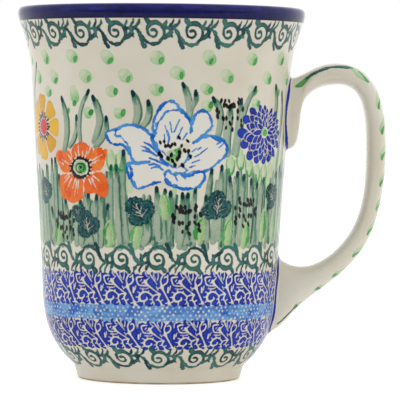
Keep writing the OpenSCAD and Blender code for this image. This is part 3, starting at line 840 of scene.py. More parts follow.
def paint_meadow(canvas, half):
    """One half of the meadow: pale dabs, tall blades, the low grass, then flowers and leaves."""
    def at(angle):
        return angle + half

    for wide, tall, core, places in DABS:
        for angle, z in places:
            dot(canvas, at(angle), z, wide, tall, core)

    blades = [
        ([(-49, 90.6), (-46.4, 85), (-46.2, 79), (-48.5, 73.5)], 1.35),
        ([(-40, 84.8), (-40, 81), (-42, 77.5), (-44.6, 75.3)], 1.1),
        ([(-33, 92.8), (-36.6, 88.5), (-38.4, 83), (-38, 76)], 0.85),
        ([(-31, 91), (-28.6, 87.5), (-27.6, 83), (-30.5, 77)], 1.3),
        ([(-24.5, 84.6), (-24.5, 81), (-27, 77.5), (-30, 75.4)], 1.1),
        ([(-12.4, 92.5), (-10.4, 88.8), (-9.9, 85.5), (-11.2, 82.3)], 1.5),
        ([(-5.5, 89.6), (-5, 86.5), (-6, 83.5), (-8.8, 81.4)], 1.25),
        ([(9.3, 95.2), (11.5, 91.5), (12.6, 87.5), (12.2, 84.3)], 1.3),
        ([(15, 92.8), (15.2, 90.5), (13.4, 87.5)], 0.9),
        ([(23, 90.8), (26.2, 87.5), (27, 83), (25.8, 78.4)], 1.35),
        ([(31.6, 88.4), (31.4, 84), (30.6, 79), (31, 73.5)], 1.5),
        ([(37.5, 90.4), (36.8, 86), (36.2, 80), (34.6, 74)], 1.3),
        ([(45.8, 94.4), (41.4, 90), (38.4, 84), (36, 73)], 1.2),
        ([(61, 95), (62.4, 90), (61.6, 83), (59, 72)], 1.2),
        ([(68, 93), (69.4, 87), (68.2, 79), (66, 66)], 1.1),
        ([(-71, 101.5), (-76.5, 94), (-79, 84), (-80, 66)], 1.1),
        ([(76, 92), (75.2, 86), (74, 77), (72.5, 62)], 1.3),
        ([(83, 89), (83.4, 83), (82.5, 75), (80, 61)], 1.3),
        ([(-85, 92), (-86.6, 86), (-88, 78), (-88.5, 62)], 1.3),
    ]
    for path, width in blades:
        blade(canvas, [(at(a), z) for a, z in path], width)
    paint_grass(canvas, half)

    yellow_flower(canvas, at(-65.8 if half == 0 else -62), 81.4, 0.92)
    orange_flower(canvas, at(-38.5), 68.7)
    white_flower(canvas, at(7), 73)
    dahlia(canvas, at(53.4), 80.1)
    for angle, z in ((33, 70), (38.5, 71.5), (43.8, 69.5), (49.2, 67.5), (54.6, 67.5), (-22.3, 71),
                     (-17.8, 71)):
        green_lobe(canvas, at(angle), z)

    leaf(canvas, at(-40.4), 54.4, 0.62, 20)
    leaf(canvas, at(-35.6), 50.8, 0.94, -20)
    leaf(canvas, at(-9.4), 55.4, 1.0, 0)
    leaf(canvas, at(22.4), 55.2, 0.5, 30)
    leaf(canvas, at(27.4), 57.0, 0.98, -35)
    leaf(canvas, at(63.5), 60, 0.9, 10)
    leaf(canvas, at(-66), 61, 0.9, -10)
    seeds(canvas, at(31.8), 85.4)
    seeds(canvas, at(12.3), 52.5, 0.92, 0.92)
    seeds(canvas, at(43.3), 54.6, -0.95, 0.9)
    seeds(canvas, at(-50), 50.2, 0.9, 0.85)


# How high the grass stands, by angle
MEADOW_ANGLES = [-90, -66, -58, -50, -42, -32, -22, -14, 0, 20, 29, 38, 48, 62, 75, 90]
MEADOW_TOPS = [68, 71, 72, 62, 58, 62, 71, 61, 60, 60, 68, 70, 69, 70, 72, 68]


def paint_grass(canvas, half):
    """The low meadow: close upright blades, a few fresh leaves and dark tips."""
    for angle in np.arange(-84, 90, 11):
        angle += half + vary(-2, 2)
        brush = Brush(canvas, angle, vary(56, 60))
        brush.stroke("pale", [[0.4, 3.4, 0.8], [0, 0, 1.6], [-0.2, -3, 1.2]], tone=vary(0.1, 0.6),
                     wobble=0.1)
    for angle, z in ((44, 65.5), (49, 64), (54, 64.5), (59, 66), (64, 68), (-20, 68), (-14, 66),
                     (69, 70)):
        Brush(canvas, angle + half, z).stroke("pale", [[0.3, 3.6, 1.2], [0, 0, 2.0], [-0.2, -4, 1.4]],
                                              tone=vary(0.2, 0.6), wobble=0.1)
    for angle in np.arange(90, -90, -3.4):
        mean_top = np.interp(angle, MEADOW_ANGLES, MEADOW_TOPS)
        tall = mean_top + vary(-5.0, 0.5)
        angle += half + vary(-0.7, 0.7)
        low = vary(43.6, 46)
        bend = vary(-1.2, 1.2)
        blade(canvas, [(angle + vary(-0.5, 2.5), tall), (angle + bend, 0.45 * tall + 0.55 * low),
                       (angle, low)],
              vary(1.15, 1.45), dab=False)
    for angle in np.arange(-89, 90, 7.3):
        angle += half + vary(-1.8, 1.8)
        low, tall = vary(43.5, 45.5), vary(48, 54)
        Brush(canvas, angle, low).stroke("shade", [[vary(-0.6, 0.6), s_at(tall) - s_at(low), 0.1],
                                                   [vary(-0.4, 0.4), 3, vary(0.3, 0.5)],
                                                   [0, 1, vary(0.5, 0.8)]],
                                         tone=vary(0.4, 1.0), wobble=0.25)
    tips = [(-27.5, 61), (-22.5, 69.3), (-20, 69.3), (-16.5, 74), (-1.7, 62.7), (2.2, 62), (4.6, 61.4),
            (10, 60.8), (12.6, 60.8), (16, 62.6), (23.5, 68.5), (28.5, 69.5), (-34.5, 60.6), (-30, 60),
            (-49, 58.6), (-60.5, 55.4), (-58.5, 71), (-55.6, 71.3), (-64, 69), (-39.5, 58.6),
            (-12.6, 58.5), (-6.2, 53), (33, 66), (37, 67.5), (41, 66.5), (45.6, 65), (50, 64),
            (55, 65.5), (60, 57), (67, 67), (71, 69), (75, 67), (80, 68), (85, 66), (-53, 66),
            (-69, 67), (-74, 69), (-80, 68), (-86, 66), (21, 60), (-24.5, 57)]
    for angle, z in sorted(tips, reverse=True):
        angle += half
        base = angle + vary(-1.6, 1.6)
        bend = vary(-1.3, 1.3)
        path = [(angle, z), ((2 * angle + base) / 3 + bend, (2 * z + 44) / 3),
                ((angle + 2 * base) / 3 + bend, (z + 88) / 3), (base, vary(44, 47))]
        blade(canvas, path, vary(1.15, 1.4))
    for angle, z, tall in ((-55, 48, 3.2), (-24, 48.4, 3.4), (-10.5, 48.6, 4.2), (2, 57.5, 3.6),
                           (19, 50, 3.4), (33, 48.8, 4.2), (43.5, 48.6, 4.0), (56, 51, 4.4),
                           (66, 50, 4.0), (76, 52, 3.6), (-76, 50, 3.6), (86, 49, 3.4), (-86, 51, 3.4)):
        shoot(canvas, angle + half, z, tall)


outside = Canvas(OUTSIDE[:, 0], ROW_S, COLUMNS)
paint_vessel(outside)


# ---------------------------------------------------------------- meshes

def make_mesh(name, points, faces, normals=None, fields=None):
    """A mesh piece in metres. normals are for each face's corners; fields are for points."""
    mesh = bpy.data.meshes.new(name)
    quads = np.asarray(faces, np.int32)
    mesh.vertices.add(len(points))
    mesh.vertices.foreach_set("co", (np.asarray(points) * MM).astype(np.float32).ravel())
    mesh.loops.add(quads.size)
    mesh.loops.foreach_set("vertex_index", quads.ravel())
    mesh.polygons.add(len(quads))
    mesh.polygons.foreach_set("loop_start", np.arange(0, quads.size, quads.shape[1], dtype=np.int32))
    mesh.polygons.foreach_set("use_smooth", np.ones(len(quads), bool))
    mesh.update(calc_edges=True)
    if normals is not None:
        mesh.normals_split_custom_set(normals.reshape(-1, 3).tolist())
    for key, values in (fields or {}).items():
        kind = "FLOAT_VECTOR" if values.ndim == 2 else "FLOAT"
        attribute = mesh.attributes.new(key, kind, "POINT")
        attribute.data.foreach_set("vector" if values.ndim == 2 else "value",
                                   values.astype(np.float32).ravel())
    mesh.validate()
    obj = bpy.data.objects.new(name, mesh)
    bpy.context.scene.collection.objects.link(obj)
    return obj


def ring_faces(rows, around, close=False):
    """Quads between rings of points, and from the last ring to the first where they close."""
    i, j = np.arange(rows if close else rows - 1)[:, None], np.arange(around)[None]
    right, after = (j + 1) % around, (i + 1) % rows
    quads = [i * around + j, after * around + j, after * around + right, i * around + right]
    return np.stack(quads, -1).reshape(-1, 4)


def turned(name, outer, inner, columns, outer_normal=None, fields=None):
    """A closed ring turned about the axis: an outer path, and an inner one to close it with.
    fields hold values for the outer rows; inner points repeat the nearest outer row's."""
    outer, inner = np.asarray(outer), np.asarray(inner)[::-1]
    n_outer, n_inner = len(outer), len(inner)
    rows = np.vstack([outer, inner])
    a = np.radians(-180 + 360 * np.arange(columns) / columns)
    x = rows[:, 0][:, None] * np.sin(a)[None]
    y = -rows[:, 0][:, None] * np.cos(a)[None]
    z = np.broadcast_to(rows[:, 1][:, None], x.shape)
    points = np.stack([x, y, z], -1).reshape(-1, 3)
    total = len(rows)
    quads = ring_faces(total, columns, close=True)[:, [0, 3, 2, 1]]
    normals = None
    if outer_normal is not None:
        inner_normal = left_normals(inner)
        flat = np.vstack([outer_normal, inner_normal])
        start, end = flat.copy(), np.roll(flat, -1, axis=0)
        for k in (n_outer - 1, total - 1):
            across = rows[(k + 1) % total] - rows[k]
            across = across / np.linalg.norm(across)
            start[k] = end[k] = [across[1], -across[0]]
        lift = np.stack([start, start, end, end], 1)
        turn = np.stack([a, np.roll(a, -1), np.roll(a, -1), a], 1)
        nr, nz = lift[:, None, :, 0], lift[:, None, :, 1]
        normals = np.stack([nr * np.sin(turn)[None], -nr * np.cos(turn)[None],
                            np.broadcast_to(nz, (total, columns, 4))], -1)
    spread = {}
    for key, values in (fields or {}).items():
        pick = np.round(np.linspace(n_outer - 1, 0, n_inner)).astype(int)
        spread[key] = np.concatenate([values, values[pick]]).reshape((-1,) + values.shape[2:])
    return make_mesh(name, points, quads, normals, spread)


def painted_fields(canvas, rows=slice(None)):
    """The canvas's distances and tones on some of its rows, as the mesh's attributes."""
    stack = [canvas.fields[p][rows] for p in PIGMENTS]
    fields = {f"paint_{k}": np.stack(stack[3 * k:3 * k + 3], -1) for k in range(PAINT_LAYERS)}
    fields["tone"] = canvas.tone[rows]
    return fields


def finish_piece(obj, material, slot, *nodes):
    """Gives a piece its material and its body, and hides the CAD nodes that it stands for. The slot is
    not used.
    """
    obj.data.materials.append(material)
    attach(obj, "root")
    if nodes:
        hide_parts(*nodes)
    return obj


# ---------------------------------------------------------------- materials

class Nodes:
    """Short calls for building a node tree."""

    def __init__(self, tree):
        self.tree = tree

    def add(self, kind, **settings):
        node = self.tree.nodes.new(kind)
        for key, value in settings.items():
            setattr(node, key, value)
        return node

    def link(self, a, b):
        self.tree.links.new(a, b)

    def feed(self, socket, value):
        if hasattr(value, "is_output"):
            self.link(value, socket)
        else:
            socket.default_value = value

    def ramp(self, value, low, high, to_low=0.0, to_high=1.0, soft=False):
        """Maps a value from one range to another, and holds it at the ends."""
        node = self.add("ShaderNodeMapRange", interpolation_type="SMOOTHSTEP" if soft else "LINEAR")
        for socket, v in zip(node.inputs, (value, low, high, to_low, to_high)):
            self.feed(socket, v)
        return node.outputs[0]

    def math(self, operation, a, b=0.0):
        node = self.add("ShaderNodeMath", operation=operation)
        self.feed(node.inputs[0], a)
        self.feed(node.inputs[1], b)
        return node.outputs[0]

    def mix(self, factor, a, b):
        node = self.add("ShaderNodeMix", data_type="RGBA")
        self.feed(node.inputs["Factor"], factor)
        self.feed(node.inputs[6], a)
        self.feed(node.inputs[7], b)
        return node.outputs[2]

    def attribute(self, name, output):
        return self.add("ShaderNodeAttribute", attribute_name=name).outputs[output]

    def split(self, vector):
        node = self.add("ShaderNodeSeparateXYZ")
        self.link(vector, node.inputs[0])
        return node.outputs


class Surface(Nodes):
    """A material with one Principled shader, and its textures set out in millimetres."""

    def __init__(self, name):
        self.material = bpy.data.materials.new(name)
        self.material.use_nodes = True
        super().__init__(self.material.node_tree)
        self.tree.nodes.clear()
        output = self.add("ShaderNodeOutputMaterial")
        self.shader = self.add("ShaderNodeBsdfPrincipled")
        self.link(self.shader.outputs[0], output.inputs["Surface"])
        coords = self.add("ShaderNodeTexCoord")
        scale = self.add("ShaderNodeVectorMath", operation="SCALE")
        scale.inputs["Scale"].default_value = 1 / MM
        self.link(coords.outputs["Object"], scale.inputs[0])
        self.place = scale.outputs[0]

    def set(self, socket, value):
        self.feed(self.shader.inputs[socket], value)

    def noise(self, per_mm, detail=2.0, rough=0.5, place=None):
        node = self.add("ShaderNodeTexNoise")
        self.link(place or self.place, node.inputs["Vector"])
        node.inputs["Scale"].default_value = per_mm
        node.inputs["Detail"].default_value = detail
        node.inputs["Roughness"].default_value = rough
        return node.outputs["Fac"]

    def bump(self, height, strength, distance):
        node = self.add("ShaderNodeBump")
        node.inputs["Strength"].default_value = strength
        node.inputs["Distance"].default_value = distance * MM
        self.feed(node.inputs["Height"], height)
        self.link(node.outputs[0], self.shader.inputs["Normal"])


def srgb(r, g, b):
    def linear(c):
        c /= 255
        return c / 12.92 if c <= 0.04045 else ((c + 0.055) / 1.055) ** 2.4
    return linear(r), linear(g), linear(b), 1.0


WHITE = (1, 1, 1, 1)
GLAZE_SPECULAR = 0.18
CREAM = srgb(215, 210, 195)
CREAM_WARM = srgb(208, 199, 180)
# Each pigment: thin colour, thick colour, least and most cover, edge softness and edge
# raggedness in mm, and how much the paint gathers at its edge
LOOKS = {
    "pale": (srgb(180, 204, 160), srgb(104, 180, 98), 0.32, 0.88, 0.2, 0.5, 0.12),
    "lime": (srgb(146, 186, 116), srgb(66, 138, 58), 0.6, 0.94, 0.2, 0.6, 0.12),
    "sage": (srgb(120, 153, 127), srgb(38, 98, 74), 0.66, 0.94, 0.14, 0.3, 0.16),
    "shade": (srgb(60, 120, 92), srgb(8, 76, 64), 0.6, 1.0, 0.14, 0.4, 0.0),
    "green": (srgb(72, 176, 84), srgb(0, 124, 40), 0.7, 1.0, 0.2, 0.4, 0.2),
    "yellow": (srgb(224, 174, 10), srgb(190, 130, 0), 0.92, 1.0, 0.16, 0.8, 0.2),
    "orange": (srgb(236, 126, 30), srgb(214, 64, 0), 0.92, 1.0, 0.16, 1.2, 0.1),
    "red": (srgb(216, 56, 58), srgb(196, 24, 40), 0.92, 1.0, 0.4, 0.3, 0.0),
    "white": (srgb(220, 217, 207), srgb(220, 217, 207), 0.85, 1.0, 0.2, 0.2, 0.0),
    "wash": (srgb(66, 146, 204), srgb(0, 62, 164), 0.84, 1.0, 0.2, 0.4, 0.0),
    "sky": (srgb(44, 150, 208), srgb(0, 88, 178), 0.88, 1.0, 0.14, 0.5, 0.2),
    "cobalt": (srgb(8, 60, 172), srgb(0, 26, 130), 0.98, 1.0, 0.13, 0.35, 0.3),
    "teal": (srgb(20, 108, 98), srgb(0, 46, 58), 0.92, 1.0, 0.16, 0.5, 0.25),
    "black": (srgb(24, 24, 28), srgb(4, 4, 8), 0.95, 1.0, 0.12, 0.3, 0.3),
    # navy's thin colour is the lighter blue at the lip's top: thin glaze there, and partly a painted
    # highlight
    "navy": (srgb(36, 38, 112), srgb(2, 2, 44), 1.0, 1.0, 0.14, 0.1, 0.3),
}
LAYER_ORDER = ["pale", "sage", "lime", "shade", "green", "yellow", "orange", "red", "white", "wash",
               "sky", "cobalt", "teal", "black", "navy"]


def painted_glaze():
    """Underglaze colours on cream, under a glossy clear glaze."""
    n = Surface("painted_glaze")
    # What makes the paint's edges ragged, and its load uneven: the tone it was painted with,
    # pools, and the brush's upright streaks
    ragged = n.math("SUBTRACT", n.math("ADD", n.math("MULTIPLY", n.noise(1.2), 0.6),
                                       n.math("MULTIPLY", n.noise(3.4), 0.4)), 0.5)
    stretch = n.add("ShaderNodeVectorMath", operation="MULTIPLY")
    n.link(n.place, stretch.inputs[0])
    stretch.inputs[1].default_value = (2.2, 2.2, 0.26)
    streaks = n.noise(1.0, 3.0, place=stretch.outputs[0])
    pool = n.noise(0.55)
    cloud = n.noise(0.05, 3.0)
    tone = n.attribute("tone", "Fac")
    density = n.math("ADD", n.math("MULTIPLY", tone, 0.66), n.math("MULTIPLY", pool, 0.42))
    density = n.math("ADD", density, n.math("MULTIPLY", streaks, 0.28))
    colour = n.mix(n.ramp(cloud, 0.35, 0.7), CREAM, CREAM_WARM)
    splits = [n.split(n.attribute(f"paint_{k}", "Vector")) for k in range(PAINT_LAYERS)]
    for pigment in LAYER_ORDER:
        thin, thick, least, most, soft, rag, gather = LOOKS[pigment]
        k = PIGMENTS.index(pigment)
        d = n.math("ADD", splits[k // 3][k % 3], n.math("MULTIPLY", ragged, rag))
        inside = n.ramp(d, soft, -soft, soft=True)
        load = density
        if gather:
            load = n.math("ADD", density, n.ramp(d, -0.8, -0.15, 0.0, gather, soft=True))
        cover = n.math("MULTIPLY", inside, n.ramp(load, 0.4, 1.15, least, most))
        colour = n.mix(cover, colour, n.mix(n.ramp(load, 0.45, 1.2), thin, thick))
    n.set("Base Color", colour)
    n.set("Specular IOR Level", GLAZE_SPECULAR)
    n.set("Roughness", n.ramp(n.noise(0.3), 0.3, 0.7, 0.08, 0.15))
    n.bump(n.math("ADD", n.noise(0.16), n.math("MULTIPLY", n.noise(1.4), 0.06)), 0.35, 0.3)
    return n.material


def plain_glaze():
    """Cream glaze without paint, with the faint rings that turning leaves."""
    n = Surface("plain_glaze")
    colour = n.mix(n.ramp(n.noise(0.06, 3.0), 0.35, 0.7), CREAM, CREAM_WARM)
    specks = n.ramp(n.noise(2.2, 2.0, 0.6), 0.74, 0.8, 0.0, 0.35)
    n.set("Base Color", n.mix(specks, colour, srgb(168, 150, 120)))
    n.set("Roughness", n.ramp(n.noise(0.3), 0.3, 0.7, 0.1, 0.18))
    wave = n.add("ShaderNodeTexWave", bands_direction="Z", wave_type="BANDS")
    n.link(n.place, wave.inputs["Vector"])
    wave.inputs["Scale"].default_value = 0.06
    wave.inputs["Distortion"].default_value = 1.5
    n.bump(n.math("ADD", n.math("MULTIPLY", wave.outputs["Fac"], 0.25), n.noise(0.16)), 0.35, 0.3)
    return n.material


def bare_clay():
    """Fired stoneware without glaze: buff, fine sand, a little stained."""
    n = Surface("bare_clay")
    stain = n.mix(n.ramp(n.noise(0.25, 4.0), 0.35, 0.7), srgb(196, 178, 150), srgb(168, 146, 114))
    sand = n.noise(5.0, 4.0, 0.7)
    n.set("Base Color", n.mix(n.ramp(sand, 0.52, 0.72, 0.0, 0.6), stain, srgb(128, 104, 78)))
    n.set("Roughness", n.ramp(sand, 0.3, 0.7, 0.75, 0.92))
    n.bump(sand, 0.6, 0.12)
    return n.material


PAINTED = painted_glaze()
PLAIN = plain_glaze()
BARE = bare_clay()

# ---------------------------------------------------------------- the vessel

ZONES = [  # each painted piece: name, the height where it begins, slot, and the CAD node it is
    ("foot_glaze", BARE_H, "decorated_glaze", ["outside_glaze"]),
    ("belly_vine_glaze", 10.6, "decorated_glaze", []),
    ("hip_vine_glaze", 22.0, "decorated_glaze", []),
    ("low_meadow_glaze", 36.0, "decorated_glaze", []),
    ("high_meadow_glaze", 64.0, "decorated_glaze", []),
    ("collar_glaze", 92.0, "decorated_glaze", []),
    ("rim_glaze_band", 112.6, "cobalt_glaze", ["rim_glaze"]),
]
MID_H = 50.0           # height at which the inside's two pieces meet
BACK_STEP = 2.0        # step between rows that no one sees
PLAIN_COLUMNS, BASE_COLUMNS, HIDDEN_COLUMNS = 360, 240, 96


def make_vessel():
    """The painted skin in zones. Neighbours share their row of points."""
    starts = [0] + [row_at(zone[1]) for zone in ZONES[1:]] + [len(OUTSIDE) - 1]
    for (name, _, slot, nodes), first, last in zip(ZONES, starts, starts[1:]):
        rows = slice(first, last + 1)
        piece = turned(name, OUTSIDE[rows], evenly(CLAY[rows], 2.6), COLUMNS, ROW_NORMAL[rows],
                       painted_fields(outside, rows))
        finish_piece(piece, PAINTED, slot, *nodes)


def make_inside():
    """The glaze inside the cup, in two pieces."""
    path = evenly(INSIDE, 0.7)
    normal = left_normals(path)
    back = path - GLAZE_T * normal
    split = int(np.argmin(np.abs(path[:, 1] - MID_H)))
    for name, rows, nodes in (("inside_wall_glaze", slice(0, split + 1), ["inside_glaze"]),
                              ("inside_floor_glaze", slice(split, None), [])):
        hidden = evenly(back[rows], BACK_STEP)
        piece = turned(name, path[rows], hidden, PLAIN_COLUMNS, normal[rows])
        finish_piece(piece, PLAIN, "plain_glaze", *nodes)


def make_clay():
    """The fired clay: its bare standing ring, and the wall between the coats of glaze."""
    ring = chain([[STANDING_R - 0.3, BARE_H], [STANDING_R - 0.1, 0.12], [STANDING_R + 0.3, 0.0]],
                 [[STANDING_R + 0.3, 0.0], [FOOT_R - 0.75, 0.0]],
                 [[FOOT_R - 0.75, 0.0], [FOOT_R - 0.25, 0.1], [FOOT_R + 0.15, BARE_H]])
    ring = evenly(ring, 0.25)
    top = [[STANDING_R - 0.3, BARE_H + 0.8], [FOOT_R + 0.1, BARE_H + 0.8]]
    piece = turned("foot_ring_clay", ring, top, PLAIN_COLUMNS, left_normals(ring))
    finish_piece(piece, BARE, "stoneware", "body")
    deep = 0.8 * GLAZE_T    # the wall's clay starts inside the glaze, so that no gap shows
    skin = OUTSIDE - deep * ROW_NORMAL
    inner = evenly(INSIDE, BACK_STEP)
    inner = inner - deep * left_normals(inner)
    split = 60.0            # height at which the two pieces of wall meet
    low = inner[:, 1] <= split
    under = [[AXIS_R, RECESS_H + deep], [STANDING_R - 3, RECESS_H + deep], [STANDING_R, BARE_H + 0.5]]
    lower = np.vstack([under, evenly(skin[:row_at(split)], BACK_STEP)])
    upper = evenly(skin[row_at(split):], BACK_STEP)
    for name, outer, cup in (("lower_wall_clay", lower, inner[low]),
                             ("upper_wall_clay", upper, inner[~low])):
        finish_piece(turned(name, outer, cup[::-1], HIDDEN_COLUMNS), BARE, "stoneware", "body")


def make_base():
    """The glaze in the recess under the foot."""
    recess = chain([[0.5, RECESS_H], [STANDING_R - 3, RECESS_H]],
                   [[STANDING_R - 3, RECESS_H], [STANDING_R - 1.4, RECESS_H],
                    [STANDING_R - 0.6, RECESS_H - 0.6], [STANDING_R - 0.3, BARE_H]])
    recess = evenly(recess, 0.5)
    normal = left_normals(recess)
    back = evenly(recess - GLAZE_T * normal, BACK_STEP)
    piece = turned("base_recess_glaze", recess, back, BASE_COLUMNS, normal)
    finish_piece(piece, PLAIN, "plain_glaze", "base_glaze")


# ---------------------------------------------------------------- the handle

def clay_radius(z):
    return float(radius_at(z, CLAY))


def handle_outline():
    """Facing points of the strap's outer and inner edges, as [x, z], from joint to joint, and
    half its width at each. The control points are part.scad's."""
    root_top = np.array([clay_radius(CREST_Z - 4.8), CREST_Z - 4.8])
    pad_low = np.array([clay_radius(WAIST_Z - 0.2), WAIST_Z - 0.2])
    root_low = np.array([clay_radius(15), 15])
    root_inside = np.array([clay_radius(39.5), 39.5])
    pad_x, inner_x, inner_z = 44.4, REACH - STRAP_T, CREST_Z - STRAP_T - 0.7
    elbow = np.array([REACH - 8.2, 41.1])
    inner_elbow = np.array([REACH - 8.7 - STRAP_T, 42.8])
    heel = np.array([47.3, 25.6])
    crest = [root_top, [CREST_X - 10.6, CREST_Z - 5.2], [CREST_X - 7.4, CREST_Z], [CREST_X, CREST_Z]]
    bow = [[CREST_X, CREST_Z], [CREST_X + 11, CREST_Z + 0.1], [REACH + 0.2, 93.8], [REACH, WAIST_Z]]
    fall = [[REACH, WAIST_Z], [REACH, 62], [REACH - 2.2, 49], elbow]
    run = [elbow, elbow - [5.2, 6.9], heel + [5, 4.2], heel]
    end = [heel, heel - [4.5, 3.3], root_low + [5.5, 1.9], root_low]
    in_pad = [pad_low, [pad_x - 1.7, WAIST_Z - 0.3], [pad_x, WAIST_Z + 1.2], [pad_x, WAIST_Z + 4.5]]
    in_neck = [[pad_x, WAIST_Z + 4.5], [pad_x - 0.2, WAIST_Z + 17], [CREST_X - 7, inner_z],
               [CREST_X + 1, inner_z]]
    in_bow = [[CREST_X + 1, inner_z], [CREST_X + 8.3, inner_z], [inner_x, inner_z - 6.8],
              [inner_x, WAIST_Z]]
    in_fall = [[inner_x, WAIST_Z], [inner_x + 0.1, 60.5], inner_elbow + [7.4, 7.8], inner_elbow]
    in_run = [inner_elbow, inner_elbow - [5, 5.4], root_inside + [6.9, -6.6], root_inside]
    # Facing stretches of the two edges: curve and its part on each side, and the sections there
    stretches = [(crest, 0, 0.35, in_pad, 0, 1, 5), (crest, 0.35, 1, in_neck, 0, 1, 9),
                 (bow, 0, 1, in_bow, 0, 1, 11), (fall, 0, 1, in_fall, 0, 1, 11),
                 (run, 0, 1, in_run, 0, 0.6, 7), (end, 0, 1, in_run, 0.6, 1, 6)]
    outer, inner, station, start = [], [], [], 0
    for a, a0, a1, b, b0, b1, steps in stretches:
        t = np.linspace(0, 1, steps * 7, endpoint=False)
        outer.append(bezier(a, a0 + (a1 - a0) * t))
        inner.append(bezier(b, b0 + (b1 - b0) * t))
        station.append(start + steps * t)
        start += steps
    outer.append(bezier(end, np.array([1.0])))
    inner.append(bezier(in_run, np.array([1.0])))
    station.append(np.array([float(start)]))
    outer, inner, station = np.vstack(outer), np.vstack(inner), np.concatenate(station) / start
    kernel = np.array([1, 2, 3, 2, 1]) / 9
    for side in (outer, inner):
        for axis in (0, 1):
            padded = np.concatenate([2 * side[0, axis] - side[2:0:-1, axis], side[:, axis],
                                     2 * side[-1, axis] - side[-2:-4:-1, axis]])
            side[:, axis] = np.convolve(padded, kernel, "valid")
    widths = [[UPPER_W / 2], [UPPER_W / 2 - 1.8], [LOWER_W / 2 - 0.6], [LOWER_W / 2]]
    return outer, inner, bezier(widths, station)[:, 0]


def strap_rings(outer, inner, half, around, grow, power=2.6):
    """Points of each section: [section, around, xyz], starting at the middle of the outer face."""
    a = 2 * np.pi * np.arange(around) / around

    def squared(c):
        return np.sign(c) * np.abs(c) ** (2 / power)
    middle, reach = (outer + inner) / 2, (outer - inner) / 2
    out = reach + grow * reach / np.linalg.norm(reach, axis=1)[:, None]
    flat = middle[:, None, :] + out[:, None, :] * squared(np.cos(a))[None, :, None]
    side = (half + grow)[:, None] * squared(np.sin(a))[None, :]
    return np.stack([flat[..., 0], side, flat[..., 1]], -1)


def seat(rings, depth, sections=14, fade=4.0):
    """Bends the strap's first and last sections onto the round wall, sunk into it by a depth.
    The bend fades out within some mm of the end."""
    for order in (1, -1):
        r = rings[::order]
        end = r[0]
        wall_r = radius_at(end[:, 2], CLAY) - depth
        shift = np.sqrt(wall_r ** 2 - end[:, 1] ** 2) - end[:, 0]
        gone = np.linalg.norm(r[:sections].mean(1) - end.mean(0), axis=1)
        for k in range(sections):
            r[k, :, 0] += shift * max(0.0, 1 - gone[k] / fade) ** 2
    return rings


class StrapCanvas(Canvas):
    """The strap's painted skin. Its x runs around the strap from the middle of its outer face,
    and its y runs down the strap from the upper joint."""

    def __init__(self, rings):
        step = np.linalg.norm(np.diff(rings, axis=1, append=rings[:, :1]), axis=2)
        x = np.cumsum(step, axis=1) - step
        total = step.sum(1)[:, None]
        self.x = np.where(x > total / 2, x - total, x)
        ahead = np.linalg.norm(np.diff(rings[:, 0], axis=0), axis=1)
        self.y = np.broadcast_to(np.concatenate([[0], np.cumsum(ahead)])[:, None], x.shape)
        self.prime(x.shape)

    def start(self, y):
        return y

    def patch(self, x0, y0, low, high):
        rows = np.nonzero((self.y[:, 0] >= y0 + low[1]) & (self.y[:, 0] <= y0 + high[1]))[0]
        if not len(rows):
            return None
        span = slice(rows[0], rows[-1] + 1)
        return (span, slice(None)), self.x[span] - x0, self.y[span] - y0


SUNK = 0.2             # how deep the strap's ends and the slips' backs lie in the wall
CREST_STROKES = [  # on each side of the crest: pigment, points, tone and wobble
    ("green", [[8.4, 2.6, 0.7], [8.2, 5.2, 1.45], [7.8, 8.4, 1.1]], 0.7, 0.0),
    ("teal", [[7.8, 6.4, 0.5], [8.0, 10, 0.9], [7.5, 14, 0.75], [7.0, 18, 0.8], [6.4, 21.5, 0.35]],
     0.5, 0.2),
    ("pale", [[5.0, 19.5, 0.6], [6.8, 22, 1.5], [7.8, 25.5, 1.4], [7.6, 28, 0.6]], 0.7, 0.1),
    ("green", [[6.6, 24, 0.4], [7.6, 27, 0.7], [7.4, 28.4, 0.45]], 0.5, 0.1),
]


def stem_at(y):
    """How far to the side the strap's winding stem is."""
    return 2.2 * math.sin(y / 7.5)


def paint_strap(canvas):
    """A garland of leaf dabs with thin dark strokes along the strap's outer face."""
    length = canvas.y[-1, 0]
    b = Brush(canvas, 0, 0)
    for way in (1, -1):
        for pigment, points, tone, wobble in CREST_STROKES:
            b.stroke(pigment, [[x * way, y, w] for x, y, w in points], tone, wobble=wobble)
    b.stroke("teal", [[stem_at(y), y, 0.4] for y in np.arange(8, length - 6, 4)], tone=0.5, wobble=0.15)
    for k, y in enumerate(np.arange(27.6, length - 14, 4.4)):
        way = -1 if k % 2 else 1
        mid = stem_at(y)
        out = way * (8.1 - 3.1 * y / length + vary(-0.3, 0.5))
        yy = y + vary(-0.8, 0.8)
        fat = vary(0.8, 1.05)
        b.stroke("pale", [[mid + 0.25 * (out - mid), yy, 0.6],
                          [mid + 0.66 * (out - mid), yy + 1.8, 1.5 * fat], [out, yy + 4.0, 1.0 * fat]],
                 tone=vary(0.5, 1.0), wobble=0.1)
        b.stroke("green", [[mid + 0.6 * (out - mid), yy + 3.0, 0.3], [out * 0.98, yy + 4.8, 0.7 * fat],
                           [out, yy + 5.8, 0.35]], tone=vary(0.2, 0.8), wobble=0.1)
        b.stroke("teal", [[mid, yy - 1.4, 0.3], [mid + 0.3 * (out - mid), yy, 0.35]], tone=0.6)
    for way in (1, -1):
        b.stroke("teal", [[way * 5.2, length - 13, 0.3], [way * 5.4, length - 8, 0.5],
                          [way * 5.2, length - 4, 0.4]], tone=0.6)


def end_caps(rows, around):
    """Faces that close a grid of rings onto the two points that follow it."""
    j = np.arange(0, around, 2)
    a, b, c, last = j, j + 1, (j + 2) % around, (rows - 1) * around
    middle = np.full_like(j, rows * around)
    return np.vstack([np.stack([middle, a, b, c], 1),
                      np.stack([middle + 1, last + c, last + b, last + a], 1)])


